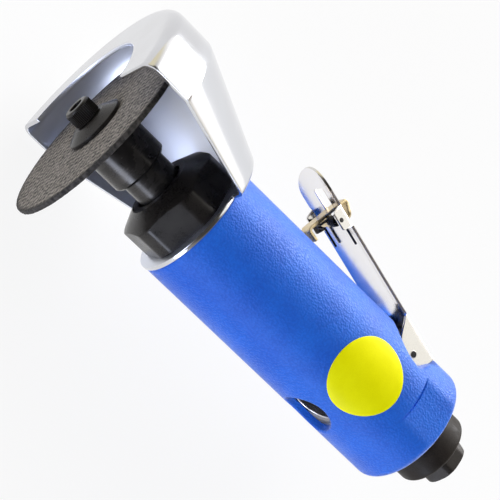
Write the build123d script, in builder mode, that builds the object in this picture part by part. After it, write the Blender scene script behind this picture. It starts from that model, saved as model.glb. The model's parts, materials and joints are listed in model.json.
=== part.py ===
from build123d import *
from math import atan, cos, pi, radians, sin, sqrt, tan
import os

os.makedirs("parts", exist_ok=True)

# Pneumatic cut-off tool with a 75 mm wheel, lying on its side.
# X runs along the tool from the mouth of the air inlet to the wheel, the lever is on -Y, Z is up.

# Fits, as radial or face clearances
run_fit = 0.05
seat_fit = 0.02
face_fit = 0.05
loose_fit = 0.3

# Air inlet and exhaust
inlet_hex_af = 17.0
inlet_hex_turned_r = 9.3
inlet_hex_length = 7.2
inlet_thread_r = 5.7
inlet_thread_length = 14.0
inlet_shank_r = 7.9
inlet_seat_length = 11.5
screen_r = 5.2
screen_thickness = 1.2
screen_pitch = 1.5
screen_hole_r = 0.45
air_way_r = 3.5
deflector_r = 14.5
deflector_length = 13.3
deflector_wall = 2.0
deflector_round = 1.8
deflector_vent_r = 1.1
deflector_vent_count = 12

# Body and its soft skin
body_length = 113.5
sleeve_rear_r = 23.6
sleeve_front_r = 22.9
sleeve_wall = 2.4
sleeve_end_wall = 2.0
sleeve_end_round = 3.0
sleeve_mouth_round = 0.6
flat_across = 43.6
flat_length = 16.5
boss_length = 12.0
scoop_r = 14.0
scoop_drop = 24.0
scoop_skin = 1.2
exhaust_way_r = 1.8
exhaust_way_radius = 10.2
exhaust_way_angle = 18.0

# Sticker
label_r = 13.9
label_from_rear = 37.0
label_angle = 74.0
label_thickness = 0.2

# Air regulator
regulator_from_rear = 37.0
regulator_bore_r = 8.6
regulator_recess = 5.4
regulator_height = 9.6
regulator_ring_height = 2.0
regulator_ring_width = 2.1
regulator_window_r = 9.3
regulator_slot_length = 9.0
regulator_slot_width = 1.8
regulator_ring_section = 0.5

# Vane motor
motor_bore_r = 17.2
gasket_thickness = 1.0
rear_plate_length = 10.0
motor_wall = 2.4
front_plate_length = 12.0
rotor_r = 12.0
rotor_offset = 1.4
rotor_tight_gap = 0.2
rotor_end_gap = 0.15
vane_count = 4
vane_thickness = 1.6
vane_height = 5.4
dowel_r = 1.25
dowel_radius = 15.2
dowel_depth = 3.0
port_r = 1.5
port_count = 5

# Ball bearings
rear_bearing_bore = 7.0
rear_bearing_od = 19.0
rear_bearing_width = 6.0
rear_ball_d = 3.5
rear_ball_count = 7
front_bearing_bore = 12.0
front_bearing_od = 28.0
front_bearing_width = 8.0
front_ball_d = 4.76
front_ball_count = 8
race_gap = 0.03

# Guard
guard_sheet = 1.5
guard_plate_r = 23.2
guard_base_r = 28.6
guard_rim_r = 45.3
guard_cone_length = 38.8
guard_depth = 56.0
guard_base_bend = 3.0
guard_rim_bend = 5.0
guard_lip_bend = 4.5
guard_mouth_r = 29.9
guard_mouth_y = 2.0
guard_mouth_z = -2.5
guard_edge_drop = 3.5
guard_angle = 7.0

# Clamp nut
nut_af = 37.0
nut_turned_r = 20.0
nut_hex_length = 11.0
nut_cone_length = 4.0
nut_nose_r = 12.2
nut_bore_r = 9.4
nut_thread_length = 8.0
nut_turn = 20.0

# Spindle and wheel clamp
spindle_r = 8.5
spindle_reach = 25.0
stub_r = 5.0
stub_length = 20.0
nose_r = 6.0
inner_flange_r = 10.75
inner_flange_length = 18.9
wheel_r = 37.5
wheel_thickness = 1.8
arbor_r = 4.76
outer_flange_r = 11.0
outer_flange_nose_r = 6.4
outer_flange_rim = 1.3
outer_flange_length = 3.6
screw_r = 3.0
screw_length = 17.0
screw_head_r = 5.0
screw_head_height = 6.0
screw_socket_af = 5.0
screw_socket_depth = 3.2

# Throttle lever, in its own lengths: along it from the hinge, and out from the hinge
lever_hinge_from_rear = 20.2
lever_hinge_drop = 17.6
lever_angle = 14.5
lever_travel = 7.0
lever_lift = 5.8
lever_sheet = 1.2
lever_width = 19.0
lever_length = 75.7
lever_tail = 6.2
lever_cheek_front = 10.5
lever_cheek_low = 3.2
lug_r = 4.5
hinge_pin_r = 1.5
hinge_pin_wall = 0.6
hinge_pin_slit = 0.5

# Safety latch in the lever
latch_from_tip = 20.3
latch_drop = 2.4
latch_sheet = 1.2
latch_half_width = 2.5
latch_hub_half = 2.4
latch_barrel_r = 1.6
latch_top = 11.4
latch_tab = 7.4
latch_tab_drop = 2.2
latch_tab_round = 2.4
latch_foot = 7.8
latch_toe = 3.4
latch_toe_rise = 0.4
latch_bend = 1.9
latch_pin_r = 0.9
latch_slot_back = 1.1
latch_slot_front = 11.6
ear_length = 7.3
ear_drop = 3.9

# Latch spring: two coils joined by a bail
latch_wire_r = 0.42
latch_coil_r = 1.65
latch_coil_pitch = 1.4
latch_coil_quarters = 9
latch_leg_z = 6.6
latch_leg_length = 11.0
latch_bail_reach = 5.3
latch_bail_round = 1.2
latch_bail_gap = 0.15

# Throttle valve under the lever
valve_from_hinge = 10.3
valve_seat = 8.0
bush_r = 5.5
bush_height = 10.2
stem_r = 2.2
stem_gap = 0.1
valve_head_r = 4.0
valve_head_height = 1.5
chamber_r = 4.6
chamber_wall = 0.5
chamber_port_r = 2.0
valve_wire_r = 0.35
valve_coil_r = 2.9
valve_coil_turns = 6
valve_ring_section = 0.5

# Places along the tool
x_rear = inlet_hex_length + deflector_length
x_front = x_rear + body_length
x_housing = x_rear + sleeve_end_wall
x_boss = x_rear + boss_length
x_hinge = x_rear + lever_hinge_from_rear
x_valve = x_hinge + valve_from_hinge
x_regulator = x_rear + regulator_from_rear
x_label = x_rear + label_from_rear
x_motor = x_regulator + regulator_bore_r + motor_wall
x_rear_plate = x_motor + gasket_thickness
x_cylinder = x_rear_plate + rear_plate_length
x_front_plate_end = x_front - nut_thread_length
x_cylinder_end = x_front_plate_end - front_plate_length
cylinder_length = x_cylinder_end - x_cylinder
x_guard = x_front + face_fit
x_nut = x_guard + guard_sheet + face_fit
x_nut_cone = x_nut + nut_hex_length
x_nut_nose = x_nut_cone + nut_cone_length
x_shoulder = x_front + spindle_reach
x_wheel = x_shoulder + inner_flange_length
x_outer_flange = x_wheel + wheel_thickness
x_screw = x_outer_flange + outer_flange_length
x_lip = x_front + guard_depth

housing_r = sleeve_front_r - sleeve_wall
y_hinge = -lever_hinge_drop
latch_from_hinge = lever_length - latch_from_tip
scoop_x = x_hinge + 1.3
lug_half = lever_width / 2 - lever_sheet - loose_fit
motor_r = motor_bore_r - run_fit


def sleeve_radius(x):
    return sleeve_rear_r + (sleeve_front_r - sleeve_rear_r) * (x - x_rear) / body_length


# Heights of the regulator's ring, plug and bore out from the axis
ring_high = sleeve_radius(x_regulator) - regulator_recess
ring_low = ring_high - regulator_ring_height
plug_high = ring_low - face_fit
plug_low = plug_high - regulator_height
regulator_bottom = plug_low - loose_fit


def half(*points):
    """Face of a half-section, from points of place along the axis and radius."""
    with BuildSketch() as section:
        with BuildLine():
            Polyline(*points, close=True)
        make_face()
    return section.sketch


def about_y(x, *points):
    """Face of a half-section about a line along Y at x, from points of radius and y."""
    with BuildSketch() as section:
        with BuildLine():
            Polyline(*[(x + r, y) for r, y in points], close=True)
        make_face()
    return section.sketch


def race(x, width, bore, od, ball_d, inner):
    """Half-section of one ring of a ball bearing, with its groove."""
    pitch = (bore + od) / 4
    edge = 0.58 * ball_d / 2
    with BuildSketch() as section:
        if inner:
            low, high = bore / 2, pitch - edge
        else:
            low, high = pitch + edge, od / 2
        with Locations((x + width / 2, (low + high) / 2)):
            Rectangle(width, high - low)
        with Locations((x + width / 2, pitch)):
            Circle(ball_d / 2 + race_gap, mode=Mode.SUBTRACT)
    return section.sketch


def biarc(p0, t0, p1, t1):
    """Joint of two tangent arcs from p0 to p1, and the direction there."""
    v = p1 - p0
    t = t0 + t1
    a = 2 * (t0.dot(t1) - 1)
    b = v.dot(t)
    c = v.dot(v)
    if abs(a) < 1e-9:
        d = c / (2 * b)
    else:
        d = (b - sqrt(b * b - a * c)) / a
    p01 = p0 + t0 * d
    p11 = p1 - t1 * d
    return (p01 + p11) * 0.5, (p11 - p01).normalized()


def straight(p0, t0, p1):
    return (p1 - p0).normalized().dot(t0) > 0.9999


def least_gap(points, wire_r):
    """Least gap of a wire to itself, on points spaced evenly along it."""
    step = (points[1] - points[0]).length
    skip = int(8 * wire_r / step) + 1
    best = 1e9
    for i, p in enumerate(points):
        for q in points[i + skip:]:
            best = min(best, (p - q).length)
    return best - 2 * wire_r


axis_x = Axis((0, 0, 0), (1, 0, 0))
valve_axis = Axis((x_valve, 0, 0), (0, 1, 0))
regulator_axis = Axis((x_regulator, 0, 0), (0, 1, 0))
lever_side = Plane(origin=(0, 0, 0), x_dir=(1, 0, 0), z_dir=(0, -1, 0))
regulator_side = Plane(origin=(0, 0, 0), x_dir=(1, 0, 0), z_dir=(0, 1, 0))

# Lever directions at rest: along it, and out from the body
lever_cos = cos(radians(lever_angle))
lever_sin = sin(radians(lever_angle))
along = Vector(lever_cos, -lever_sin, 0)
outward = Vector(-lever_sin, -lever_cos, 0)
hinge = Vector(x_hinge, y_hinge, 0)
lever_section = Plane(origin=hinge, x_dir=along, z_dir=(0, 0, -1))
lever_plan = Plane(origin=hinge, x_dir=along, z_dir=outward)
latch_height = lever_lift - latch_drop


def on_lever(s, h, z):
    return hinge + along * s + outward * h + Vector(0, 0, z)


# Air inlet: hexagon with its corners turned, a shank through the deflector and a thread in the housing
x_seat_end = x_housing + inlet_seat_length
with BuildPart() as inlet_bushing:
    with BuildSketch(Plane.YZ):
        RegularPolygon(inlet_hex_af / 2, 6, major_radius=False)
    extrude(amount=inlet_hex_length)
    revolve(
        half((0, 0), (0, inlet_hex_turned_r - 0.8), (0.8, inlet_hex_turned_r),
             (inlet_hex_length, inlet_hex_turned_r), (inlet_hex_length, 0)),
        axis=axis_x, mode=Mode.INTERSECT)
    with BuildSketch(Plane.YZ.offset(inlet_hex_length)):
        Circle(inlet_shank_r)
    extrude(amount=x_seat_end - inlet_hex_length)
    with BuildSketch(Plane.YZ):
        Circle(inlet_thread_r)
    extrude(amount=inlet_thread_length, mode=Mode.SUBTRACT)
    with BuildSketch(Plane.YZ.offset(inlet_thread_length)):
        Circle(screen_r)
    extrude(amount=screen_thickness, mode=Mode.SUBTRACT)
    with BuildSketch(Plane.YZ.offset(inlet_thread_length)):
        Circle(air_way_r)
    extrude(amount=x_seat_end - inlet_thread_length, mode=Mode.SUBTRACT)

# Strainer at the bottom of the inlet's thread
with BuildPart() as inlet_screen:
    with BuildSketch(Plane.YZ.offset(inlet_thread_length + seat_fit)):
        Circle(screen_r - seat_fit)
        with HexLocations(screen_pitch / 2, 5, 5):
            Circle(screen_hole_r, mode=Mode.SUBTRACT)
    extrude(amount=screen_thickness - 2 * seat_fit)

# Exhaust deflector: a cup that turns on the inlet's shank, vents in its rear wall
x_deflector = inlet_hex_length + face_fit
x_deflector_end = x_housing - loose_fit
deflector_bore_r = inlet_shank_r + run_fit
deflector_inner_r = deflector_r - deflector_wall
vent_radius = (deflector_bore_r + deflector_inner_r) / 2
with BuildPart() as exhaust_deflector:
    with BuildSketch() as cup:
        with BuildLine():
            Polyline(
                (x_deflector, deflector_bore_r),
                (x_deflector, deflector_r),
                (x_deflector_end, deflector_r),
                (x_deflector_end, deflector_inner_r),
                (x_deflector + deflector_wall, deflector_inner_r),
                (x_deflector + deflector_wall, deflector_bore_r),
                close=True)
        make_face()
        fillet(cup.vertices().group_by(Axis.X)[0].sort_by(Axis.Y)[-1], radius=deflector_round)
    revolve(axis=axis_x)
    with BuildSketch(Plane.YZ.offset(x_deflector)):
        with PolarLocations(vent_radius, deflector_vent_count):
            Circle(deflector_vent_r)
    extrude(amount=deflector_wall, mode=Mode.SUBTRACT)

# Felt ring that quiets the exhaust
with BuildPart() as muffler_felt:
    with BuildSketch(Plane.YZ.offset(x_deflector + deflector_wall + face_fit)):
        Circle(deflector_inner_r - face_fit)
        Circle(inlet_shank_r + loose_fit, mode=Mode.SUBTRACT)
    extrude(amount=x_deflector_end - x_deflector - deflector_wall - loose_fit)

# Space that the aluminium housing takes up under the skin
with BuildPart() as core:
    with BuildSketch(Plane.YZ.offset(x_housing)):
        Circle(housing_r)
    extrude(amount=x_front - x_housing)
    with BuildSketch(Plane.XY):
        with Locations((scoop_x, -scoop_drop)):
            Circle(scoop_r + scoop_skin)
        with Locations((x_boss - scoop_skin + 25, -scoop_drop)):
            Rectangle(50, 60, mode=Mode.INTERSECT)
    extrude(amount=housing_r + 5, both=True, mode=Mode.SUBTRACT)

# Housing: motor bore from the front, inlet, valve and regulator bores at the rear, lug for the lever
valve_top = valve_seat + bush_height
chamber_end = regulator_bottom - chamber_wall
with BuildPart() as housing:
    add(core.part)
    with BuildSketch(Plane.XY):
        with Locations((x_hinge, y_hinge)):
            Circle(lug_r)
        with Locations((x_hinge, y_hinge / 2 - 2)):
            Rectangle(2 * lug_r, -y_hinge - 4)
    extrude(amount=lug_half, both=True)
    with BuildSketch(Plane.XY):
        with Locations((x_hinge, y_hinge)):
            Circle(hinge_pin_r + seat_fit)
    extrude(amount=lug_half + 1, both=True, mode=Mode.SUBTRACT)
    with BuildSketch(Plane.YZ.offset(x_housing)):
        Circle(inlet_shank_r + seat_fit)
    extrude(amount=inlet_seat_length + face_fit, mode=Mode.SUBTRACT)
    with BuildSketch(Plane.YZ.offset(x_seat_end)):
        Circle(air_way_r)
    extrude(amount=x_valve - x_seat_end, mode=Mode.SUBTRACT)
    with BuildSketch(Plane.YZ.offset(x_housing)):
        for side in (90, 270):
            with PolarLocations(exhaust_way_radius, 2, side - exhaust_way_angle, 2 * exhaust_way_angle,
                                endpoint=True):
                Circle(exhaust_way_r)
    extrude(amount=x_motor - x_housing + 1, mode=Mode.SUBTRACT)
    with BuildSketch(Plane.YZ.offset(x_motor)):
        Circle(motor_bore_r)
    extrude(amount=x_front - x_motor, mode=Mode.SUBTRACT)
    with BuildSketch(lever_side.offset(valve_seat)):
        with Locations((x_valve, 0)):
            Circle(bush_r + seat_fit)
    extrude(amount=bush_height, mode=Mode.SUBTRACT)
    with BuildSketch(lever_side.offset(-chamber_end)):
        with Locations((x_valve, 0)):
            Circle(chamber_r)
    extrude(amount=chamber_end + valve_seat, mode=Mode.SUBTRACT)
    with BuildSketch(regulator_side.offset(regulator_bottom)):
        with Locations((x_regulator, 0)):
            Circle(regulator_bore_r)
    extrude(amount=housing_r, mode=Mode.SUBTRACT)
    with BuildSketch(regulator_side):
        with Locations((x_valve, 0)):
            Circle(chamber_port_r)
    extrude(amount=regulator_bottom + 1, mode=Mode.SUBTRACT)
    with BuildSketch(Plane.YZ.offset(x_regulator)):
        with Locations((regulator_bottom + 3.5, 0)):
            Circle(2.6)
    extrude(amount=x_motor - x_regulator + 1, mode=Mode.SUBTRACT)

# Soft skin over the housing: scoop for the lever, flats at the rear, window for the regulator
sleeve_hole_r = deflector_r + loose_fit
with BuildPart() as grip_sleeve:
    with BuildSketch() as skin:
        with BuildLine():
            Polyline((x_rear, 0), (x_rear, sleeve_rear_r), (x_front, sleeve_front_r), (x_front, 0), close=True)
        make_face()
        fillet(skin.vertices().group_by(Axis.X)[0].sort_by(Axis.Y)[-1], radius=sleeve_end_round)
        fillet(skin.vertices().group_by(Axis.X)[-1].sort_by(Axis.Y)[-1], radius=sleeve_mouth_round)
    revolve(axis=axis_x)
    with BuildSketch(Plane.XY):
        with Locations((scoop_x, -scoop_drop)):
            Circle(scoop_r)
        with Locations((x_boss + 25, -scoop_drop)):
            Rectangle(50, 60, mode=Mode.INTERSECT)
    extrude(amount=sleeve_rear_r + 5, both=True, mode=Mode.SUBTRACT)
    for side in (1, -1):
        with BuildSketch(Plane.XY.offset(side * flat_across / 2)):
            with Locations((x_rear + flat_length / 2, 0)):
                Rectangle(flat_length, 2 * sleeve_rear_r)
        extrude(amount=side * 10, mode=Mode.SUBTRACT)
    add(core.part, mode=Mode.SUBTRACT)
    with BuildSketch(Plane.YZ.offset(x_rear)):
        Circle(sleeve_hole_r)
    extrude(amount=sleeve_end_wall, mode=Mode.SUBTRACT)
    with BuildSketch(Plane.XY):
        with Locations((x_hinge, y_hinge)):
            Circle(lug_r + run_fit)
        with Locations((x_hinge, y_hinge / 2)):
            Rectangle(2 * (lug_r + run_fit), -y_hinge)
    extrude(amount=lug_half + run_fit, both=True, mode=Mode.SUBTRACT)
    with BuildSketch(lever_side.offset(valve_seat)):
        with Locations((x_valve, 0)):
            Circle(bush_r + seat_fit)
    extrude(amount=bush_height, mode=Mode.SUBTRACT)
    with BuildSketch(regulator_side.offset(regulator_bottom)):
        with Locations((x_regulator, 0)):
            Circle(regulator_window_r)
    extrude(amount=sleeve_rear_r, mode=Mode.SUBTRACT)

# Round sticker on the side of the skin
label_low = seat_fit
label_high = label_low + label_thickness
label_out = Vector(0, cos(radians(label_angle)), sin(radians(label_angle)))
with BuildPart() as label_disc:
    x0 = x_label - label_r - 1
    x1 = x_label + label_r + 1
    revolve(
        half((x0, sleeve_radius(x0) + label_low), (x0, sleeve_radius(x0) + label_high),
             (x1, sleeve_radius(x1) + label_high), (x1, sleeve_radius(x1) + label_low)),
        axis=axis_x)
    with BuildSketch(Plane(origin=(x_label, 0, 0), x_dir=(1, 0, 0), z_dir=label_out)):
        Circle(label_r)
    extrude(amount=2 * sleeve_rear_r, mode=Mode.INTERSECT)

# Regulator: a slotted plug that turns in its bore, its O-ring, and the ring that keeps it in
plug_r = regulator_bore_r - run_fit
groove_r = plug_r - 2 * regulator_ring_section
groove_low = plug_low + regulator_height * 0.55
groove_high = groove_low + 2 * regulator_ring_section + 0.3
with BuildPart() as regulator:
    revolve(
        about_y(x_regulator, (6.2, plug_low), (plug_r, plug_low), (plug_r, groove_low),
                (groove_r, groove_low), (groove_r, groove_high), (plug_r, groove_high),
                (plug_r, plug_high - 0.6), (plug_r - 0.6, plug_high), (0, plug_high),
                (0, groove_low - 1), (6.2, groove_low - 1)),
        axis=regulator_axis)
    with BuildSketch(regulator_side.offset(plug_high)):
        with Locations((x_regulator, 0)):
            Rectangle(regulator_slot_length, regulator_slot_width)
    extrude(amount=-1.6, mode=Mode.SUBTRACT)
    with BuildSketch(Plane.YZ.offset(x_regulator)):
        with Locations((regulator_bottom + 3.5, 0)):
            Circle(1.9)
    extrude(amount=plug_r + 1, mode=Mode.SUBTRACT)

with BuildPart() as regulator_o_ring:
    with BuildSketch():
        with Locations((x_regulator + groove_r + regulator_ring_section, (groove_low + groove_high) / 2)):
            Circle(regulator_ring_section - seat_fit)
    revolve(axis=regulator_axis)

ring_r = regulator_bore_r - seat_fit
with BuildPart() as regulator_ring:
    revolve(
        about_y(x_regulator, (ring_r - regulator_ring_width, ring_low), (ring_r, ring_low), (ring_r, ring_high),
                (ring_r - regulator_ring_width + 0.5, ring_high), (ring_r - regulator_ring_width, ring_high - 0.5)),
        axis=regulator_axis)

# Gasket, plates, cylinder and dowel of the vane motor
with BuildPart() as motor_gasket:
    with BuildSketch(Plane.YZ.offset(x_motor)):
        Circle(motor_r)
        Circle(rear_bearing_od / 2 - 1.5, mode=Mode.SUBTRACT)
        with PolarLocations(exhaust_way_radius + 3.4, 2, 90, 360):
            Circle(1.8, mode=Mode.SUBTRACT)
    extrude(amount=gasket_thickness)

rear_pocket_end = x_rear_plate + rear_bearing_width
with BuildPart() as rear_plate:
    revolve(
        half((x_rear_plate, rear_bearing_od / 2 + seat_fit), (x_rear_plate, motor_r),
             (x_cylinder, motor_r), (x_cylinder, rear_bearing_bore / 2 + 0.8),
             (rear_pocket_end, rear_bearing_bore / 2 + 0.8), (rear_pocket_end, rear_bearing_od / 2 + seat_fit)),
        axis=axis_x)
    with BuildSketch(Plane.YZ.offset(x_cylinder)):
        with Locations((-dowel_radius, 0)):
            Circle(dowel_r + seat_fit)
    extrude(amount=-dowel_depth, mode=Mode.SUBTRACT)
    with BuildSketch(Plane.YZ.offset(x_rear_plate)):
        with PolarLocations(exhaust_way_radius + 3.4, 2, 90, 360):
            Circle(1.8)
    extrude(amount=rear_plate_length, mode=Mode.SUBTRACT)

with BuildPart() as cylinder:
    with BuildSketch(Plane.YZ.offset(x_cylinder)):
        Circle(motor_r)
        with Locations((rotor_offset, 0)):
            Circle(rotor_r + rotor_offset + rotor_tight_gap, mode=Mode.SUBTRACT)
        with Locations((-dowel_radius, 0)):
            Circle(dowel_r + seat_fit, mode=Mode.SUBTRACT)
    extrude(amount=cylinder_length)
    with BuildSketch(regulator_side):
        with Locations(((x_cylinder + x_cylinder_end) / 2, 0)):
            with GridLocations(cylinder_length / (port_count + 1), 1, port_count, 1):
                Circle(port_r)
    extrude(amount=motor_r + 1, mode=Mode.SUBTRACT)

front_pocket = x_front_plate_end - front_bearing_width
with BuildPart() as front_plate:
    revolve(
        half((x_cylinder_end, front_bearing_bore / 2 + 1), (x_cylinder_end, motor_r),
             (x_front_plate_end, motor_r), (x_front_plate_end, front_bearing_od / 2 + seat_fit),
             (front_pocket, front_bearing_od / 2 + seat_fit), (front_pocket, front_bearing_bore / 2 + 1)),
        axis=axis_x)
    with BuildSketch(Plane.YZ.offset(x_cylinder_end)):
        with Locations((-dowel_radius, 0)):
            Circle(dowel_r + seat_fit)
    extrude(amount=dowel_depth, mode=Mode.SUBTRACT)

with BuildPart() as cylinder_pin:
    with BuildSketch(Plane.YZ.offset(x_cylinder - dowel_depth + face_fit)):
        with Locations((-dowel_radius, 0)):
            Circle(dowel_r)
    extrude(amount=cylinder_length + 2 * (dowel_depth - face_fit))

# Rotor with its journals and the threaded stub that carries the spindle
x_rotor = x_cylinder + rotor_end_gap
x_rotor_end = x_cylinder_end - rotor_end_gap
x_stub = x_front_plate_end + 2.3
x_stub_end = x_stub + stub_length
rear_journal_r = rear_bearing_bore / 2 - seat_fit
front_journal_r = front_bearing_bore / 2 - seat_fit
slot_depth = vane_height + 0.4
with BuildPart() as rotor:
    revolve(
        half((x_rear_plate + 0.3, 0), (x_rear_plate + 0.3, rear_journal_r), (x_rotor, rear_journal_r),
             (x_rotor, rotor_r), (x_rotor_end, rotor_r), (x_rotor_end, front_journal_r),
             (x_stub, front_journal_r), (x_stub, stub_r), (x_stub_end, stub_r), (x_stub_end, 0)),
        axis=axis_x)
    with BuildSketch(Plane.YZ.offset(x_rotor)):
        with PolarLocations(rotor_r - slot_depth / 2 + 0.5, vane_count):
            Rectangle(slot_depth + 1, vane_thickness + 2 * run_fit)
    extrude(amount=x_rotor_end - x_rotor, mode=Mode.SUBTRACT)

with BuildPart() as rotor_vanes:
    with BuildSketch(Plane.YZ.offset(x_rotor + face_fit)):
        with PolarLocations(rotor_r - vane_height / 2, vane_count):
            Rectangle(vane_height, vane_thickness)
    extrude(amount=x_rotor_end - x_rotor - 2 * face_fit)

# Rear bearing, in the rear plate
rear_pitch = (rear_bearing_bore + rear_bearing_od) / 4
with BuildPart() as rear_bearing_outer:
    revolve(race(x_rear_plate, rear_bearing_width, rear_bearing_bore, rear_bearing_od, rear_ball_d, False),
            axis=axis_x)
with BuildPart() as rear_bearing_inner:
    revolve(race(x_rear_plate, rear_bearing_width, rear_bearing_bore, rear_bearing_od, rear_ball_d, True),
            axis=axis_x)
with BuildPart() as rear_bearing_balls:
    with Locations(Plane.YZ.offset(x_rear_plate + rear_bearing_width / 2)):
        with PolarLocations(rear_pitch, rear_ball_count):
            Sphere(rear_ball_d / 2)

# Front bearing, in the front plate
front_pitch = (front_bearing_bore + front_bearing_od) / 4
with BuildPart() as front_bearing_outer:
    revolve(race(front_pocket, front_bearing_width, front_bearing_bore, front_bearing_od, front_ball_d, False),
            axis=axis_x)
with BuildPart() as front_bearing_inner:
    revolve(race(front_pocket, front_bearing_width, front_bearing_bore, front_bearing_od, front_ball_d, True),
            axis=axis_x)
with BuildPart() as front_bearing_balls:
    with Locations(Plane.YZ.offset(front_pocket + front_bearing_width / 2)):
        with PolarLocations(front_pitch, front_ball_count):
            Sphere(front_ball_d / 2)

# Guard: pressed sheet, a flat base ring under the nut, half a cup round the wheel, round mouth in its lip
guard_hole_r = motor_bore_r + loose_fit
guard_open = Vector(0, cos(radians(guard_angle)), sin(radians(guard_angle)))
guard_cut = Plane(origin=(0, 0, 0), x_dir=(1, 0, 0), z_dir=guard_open)
with BuildPart() as guard:
    with BuildSketch():
        with BuildLine():
            outside = FilletPolyline(
                (x_guard, guard_hole_r),
                (x_guard, guard_base_r),
                (x_guard + guard_cone_length, guard_rim_r),
                (x_lip, guard_rim_r),
                (x_lip, guard_mouth_r - 5),
                radius=[guard_base_bend, guard_rim_bend, guard_lip_bend])
            offset(outside, amount=guard_sheet, side=Side.RIGHT)
        make_face()
    revolve(axis=axis_x)
    with BuildSketch(guard_cut.offset(-guard_edge_drop)):
        with Locations(((x_guard + x_lip) / 2, 0)):
            Rectangle(2 * guard_depth, 3 * guard_rim_r)
    extrude(amount=2 * guard_rim_r, mode=Mode.SUBTRACT)
    with BuildSketch(Plane.YZ.offset(x_lip)):
        with Locations((guard_mouth_y, guard_mouth_z)):
            Circle(guard_mouth_r)
    extrude(amount=-2 * guard_sheet, mode=Mode.SUBTRACT)
    with BuildSketch(Plane.YZ.offset(x_guard)):
        Circle(guard_plate_r)
        Circle(guard_hole_r, mode=Mode.SUBTRACT)
    extrude(amount=guard_sheet)

# Nut that clamps the guard and the motor: threaded spigot, turned hexagon and conical nose
with BuildPart() as clamp_nut:
    revolve(
        half((x_front_plate_end + face_fit, nut_bore_r), (x_front_plate_end + face_fit, motor_bore_r - run_fit),
             (x_nut, motor_bore_r - run_fit), (x_nut, nut_turned_r - 0.4), (x_nut + 0.4, nut_turned_r),
             (x_nut_cone, nut_turned_r), (x_nut_nose, nut_nose_r), (x_nut_nose, nut_bore_r)),
        axis=axis_x)
    with BuildSketch(Plane.YZ.offset(x_front_plate_end)):
        RegularPolygon(nut_af / 2, 6, major_radius=False, rotation=nut_turn)
    extrude(amount=x_nut_nose - x_front_plate_end + 1, mode=Mode.INTERSECT)

# Spindle screwed on the rotor's stub, with a nose for the flange and a pilot for the wheel
x_spindle = x_front_plate_end + face_fit
spindle_heel_r = (front_bearing_bore + front_bearing_od) / 4 - 0.58 * front_ball_d / 2 - 0.3
with BuildPart() as spindle:
    revolve(
        half((x_spindle, front_bearing_bore / 2), (x_spindle, spindle_heel_r), (x_spindle + 1.0, spindle_heel_r),
             (x_spindle + 2.0, spindle_r), (x_shoulder, spindle_r), (x_shoulder, nose_r),
             (x_wheel - face_fit, nose_r), (x_wheel - face_fit, arbor_r - run_fit),
             (x_outer_flange - 0.2, arbor_r - run_fit), (x_outer_flange - 0.2, screw_r + seat_fit),
             (x_screw - screw_length - 2, screw_r + seat_fit), (x_screw - screw_length - 2, 0),
             (x_stub_end + 0.3, 0), (x_stub_end + 0.3, stub_r + seat_fit),
             (x_stub + face_fit, stub_r + seat_fit), (x_stub + face_fit, front_bearing_bore / 2)),
        axis=axis_x)

with BuildPart() as inner_flange:
    revolve(
        half((x_shoulder + seat_fit, nose_r + seat_fit), (x_shoulder + seat_fit, inner_flange_r - 1.2),
             (x_shoulder + 1.2, inner_flange_r), (x_wheel - 0.4, inner_flange_r),
             (x_wheel, inner_flange_r - 0.4), (x_wheel, nose_r + seat_fit)),
        axis=axis_x)

with BuildPart() as cutting_wheel:
    with BuildSketch(Plane.YZ.offset(x_wheel)):
        Circle(wheel_r)
        Circle(arbor_r, mode=Mode.SUBTRACT)
    extrude(amount=wheel_thickness)

with BuildPart() as outer_flange:
    revolve(
        half((x_outer_flange, screw_r + 0.1), (x_outer_flange, outer_flange_r - 0.3),
             (x_outer_flange + 0.3, outer_flange_r), (x_outer_flange + outer_flange_rim, outer_flange_r),
             (x_screw, outer_flange_nose_r), (x_screw, screw_r + 0.1)),
        axis=axis_x)

x_screw_top = x_screw + screw_head_height
with BuildPart() as cap_screw:
    revolve(
        half((x_screw - screw_length, 0), (x_screw - screw_length, screw_r - 0.5),
             (x_screw - screw_length + 0.5, screw_r), (x_screw, screw_r), (x_screw, screw_head_r),
             (x_screw_top - 0.6, screw_head_r), (x_screw_top, screw_head_r - 0.6), (x_screw_top, 0)),
        axis=axis_x)
    with BuildSketch(Plane.YZ.offset(x_screw_top)):
        RegularPolygon(screw_socket_af / 2, 6, major_radius=False)
    extrude(amount=-screw_socket_depth, mode=Mode.SUBTRACT)

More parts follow.
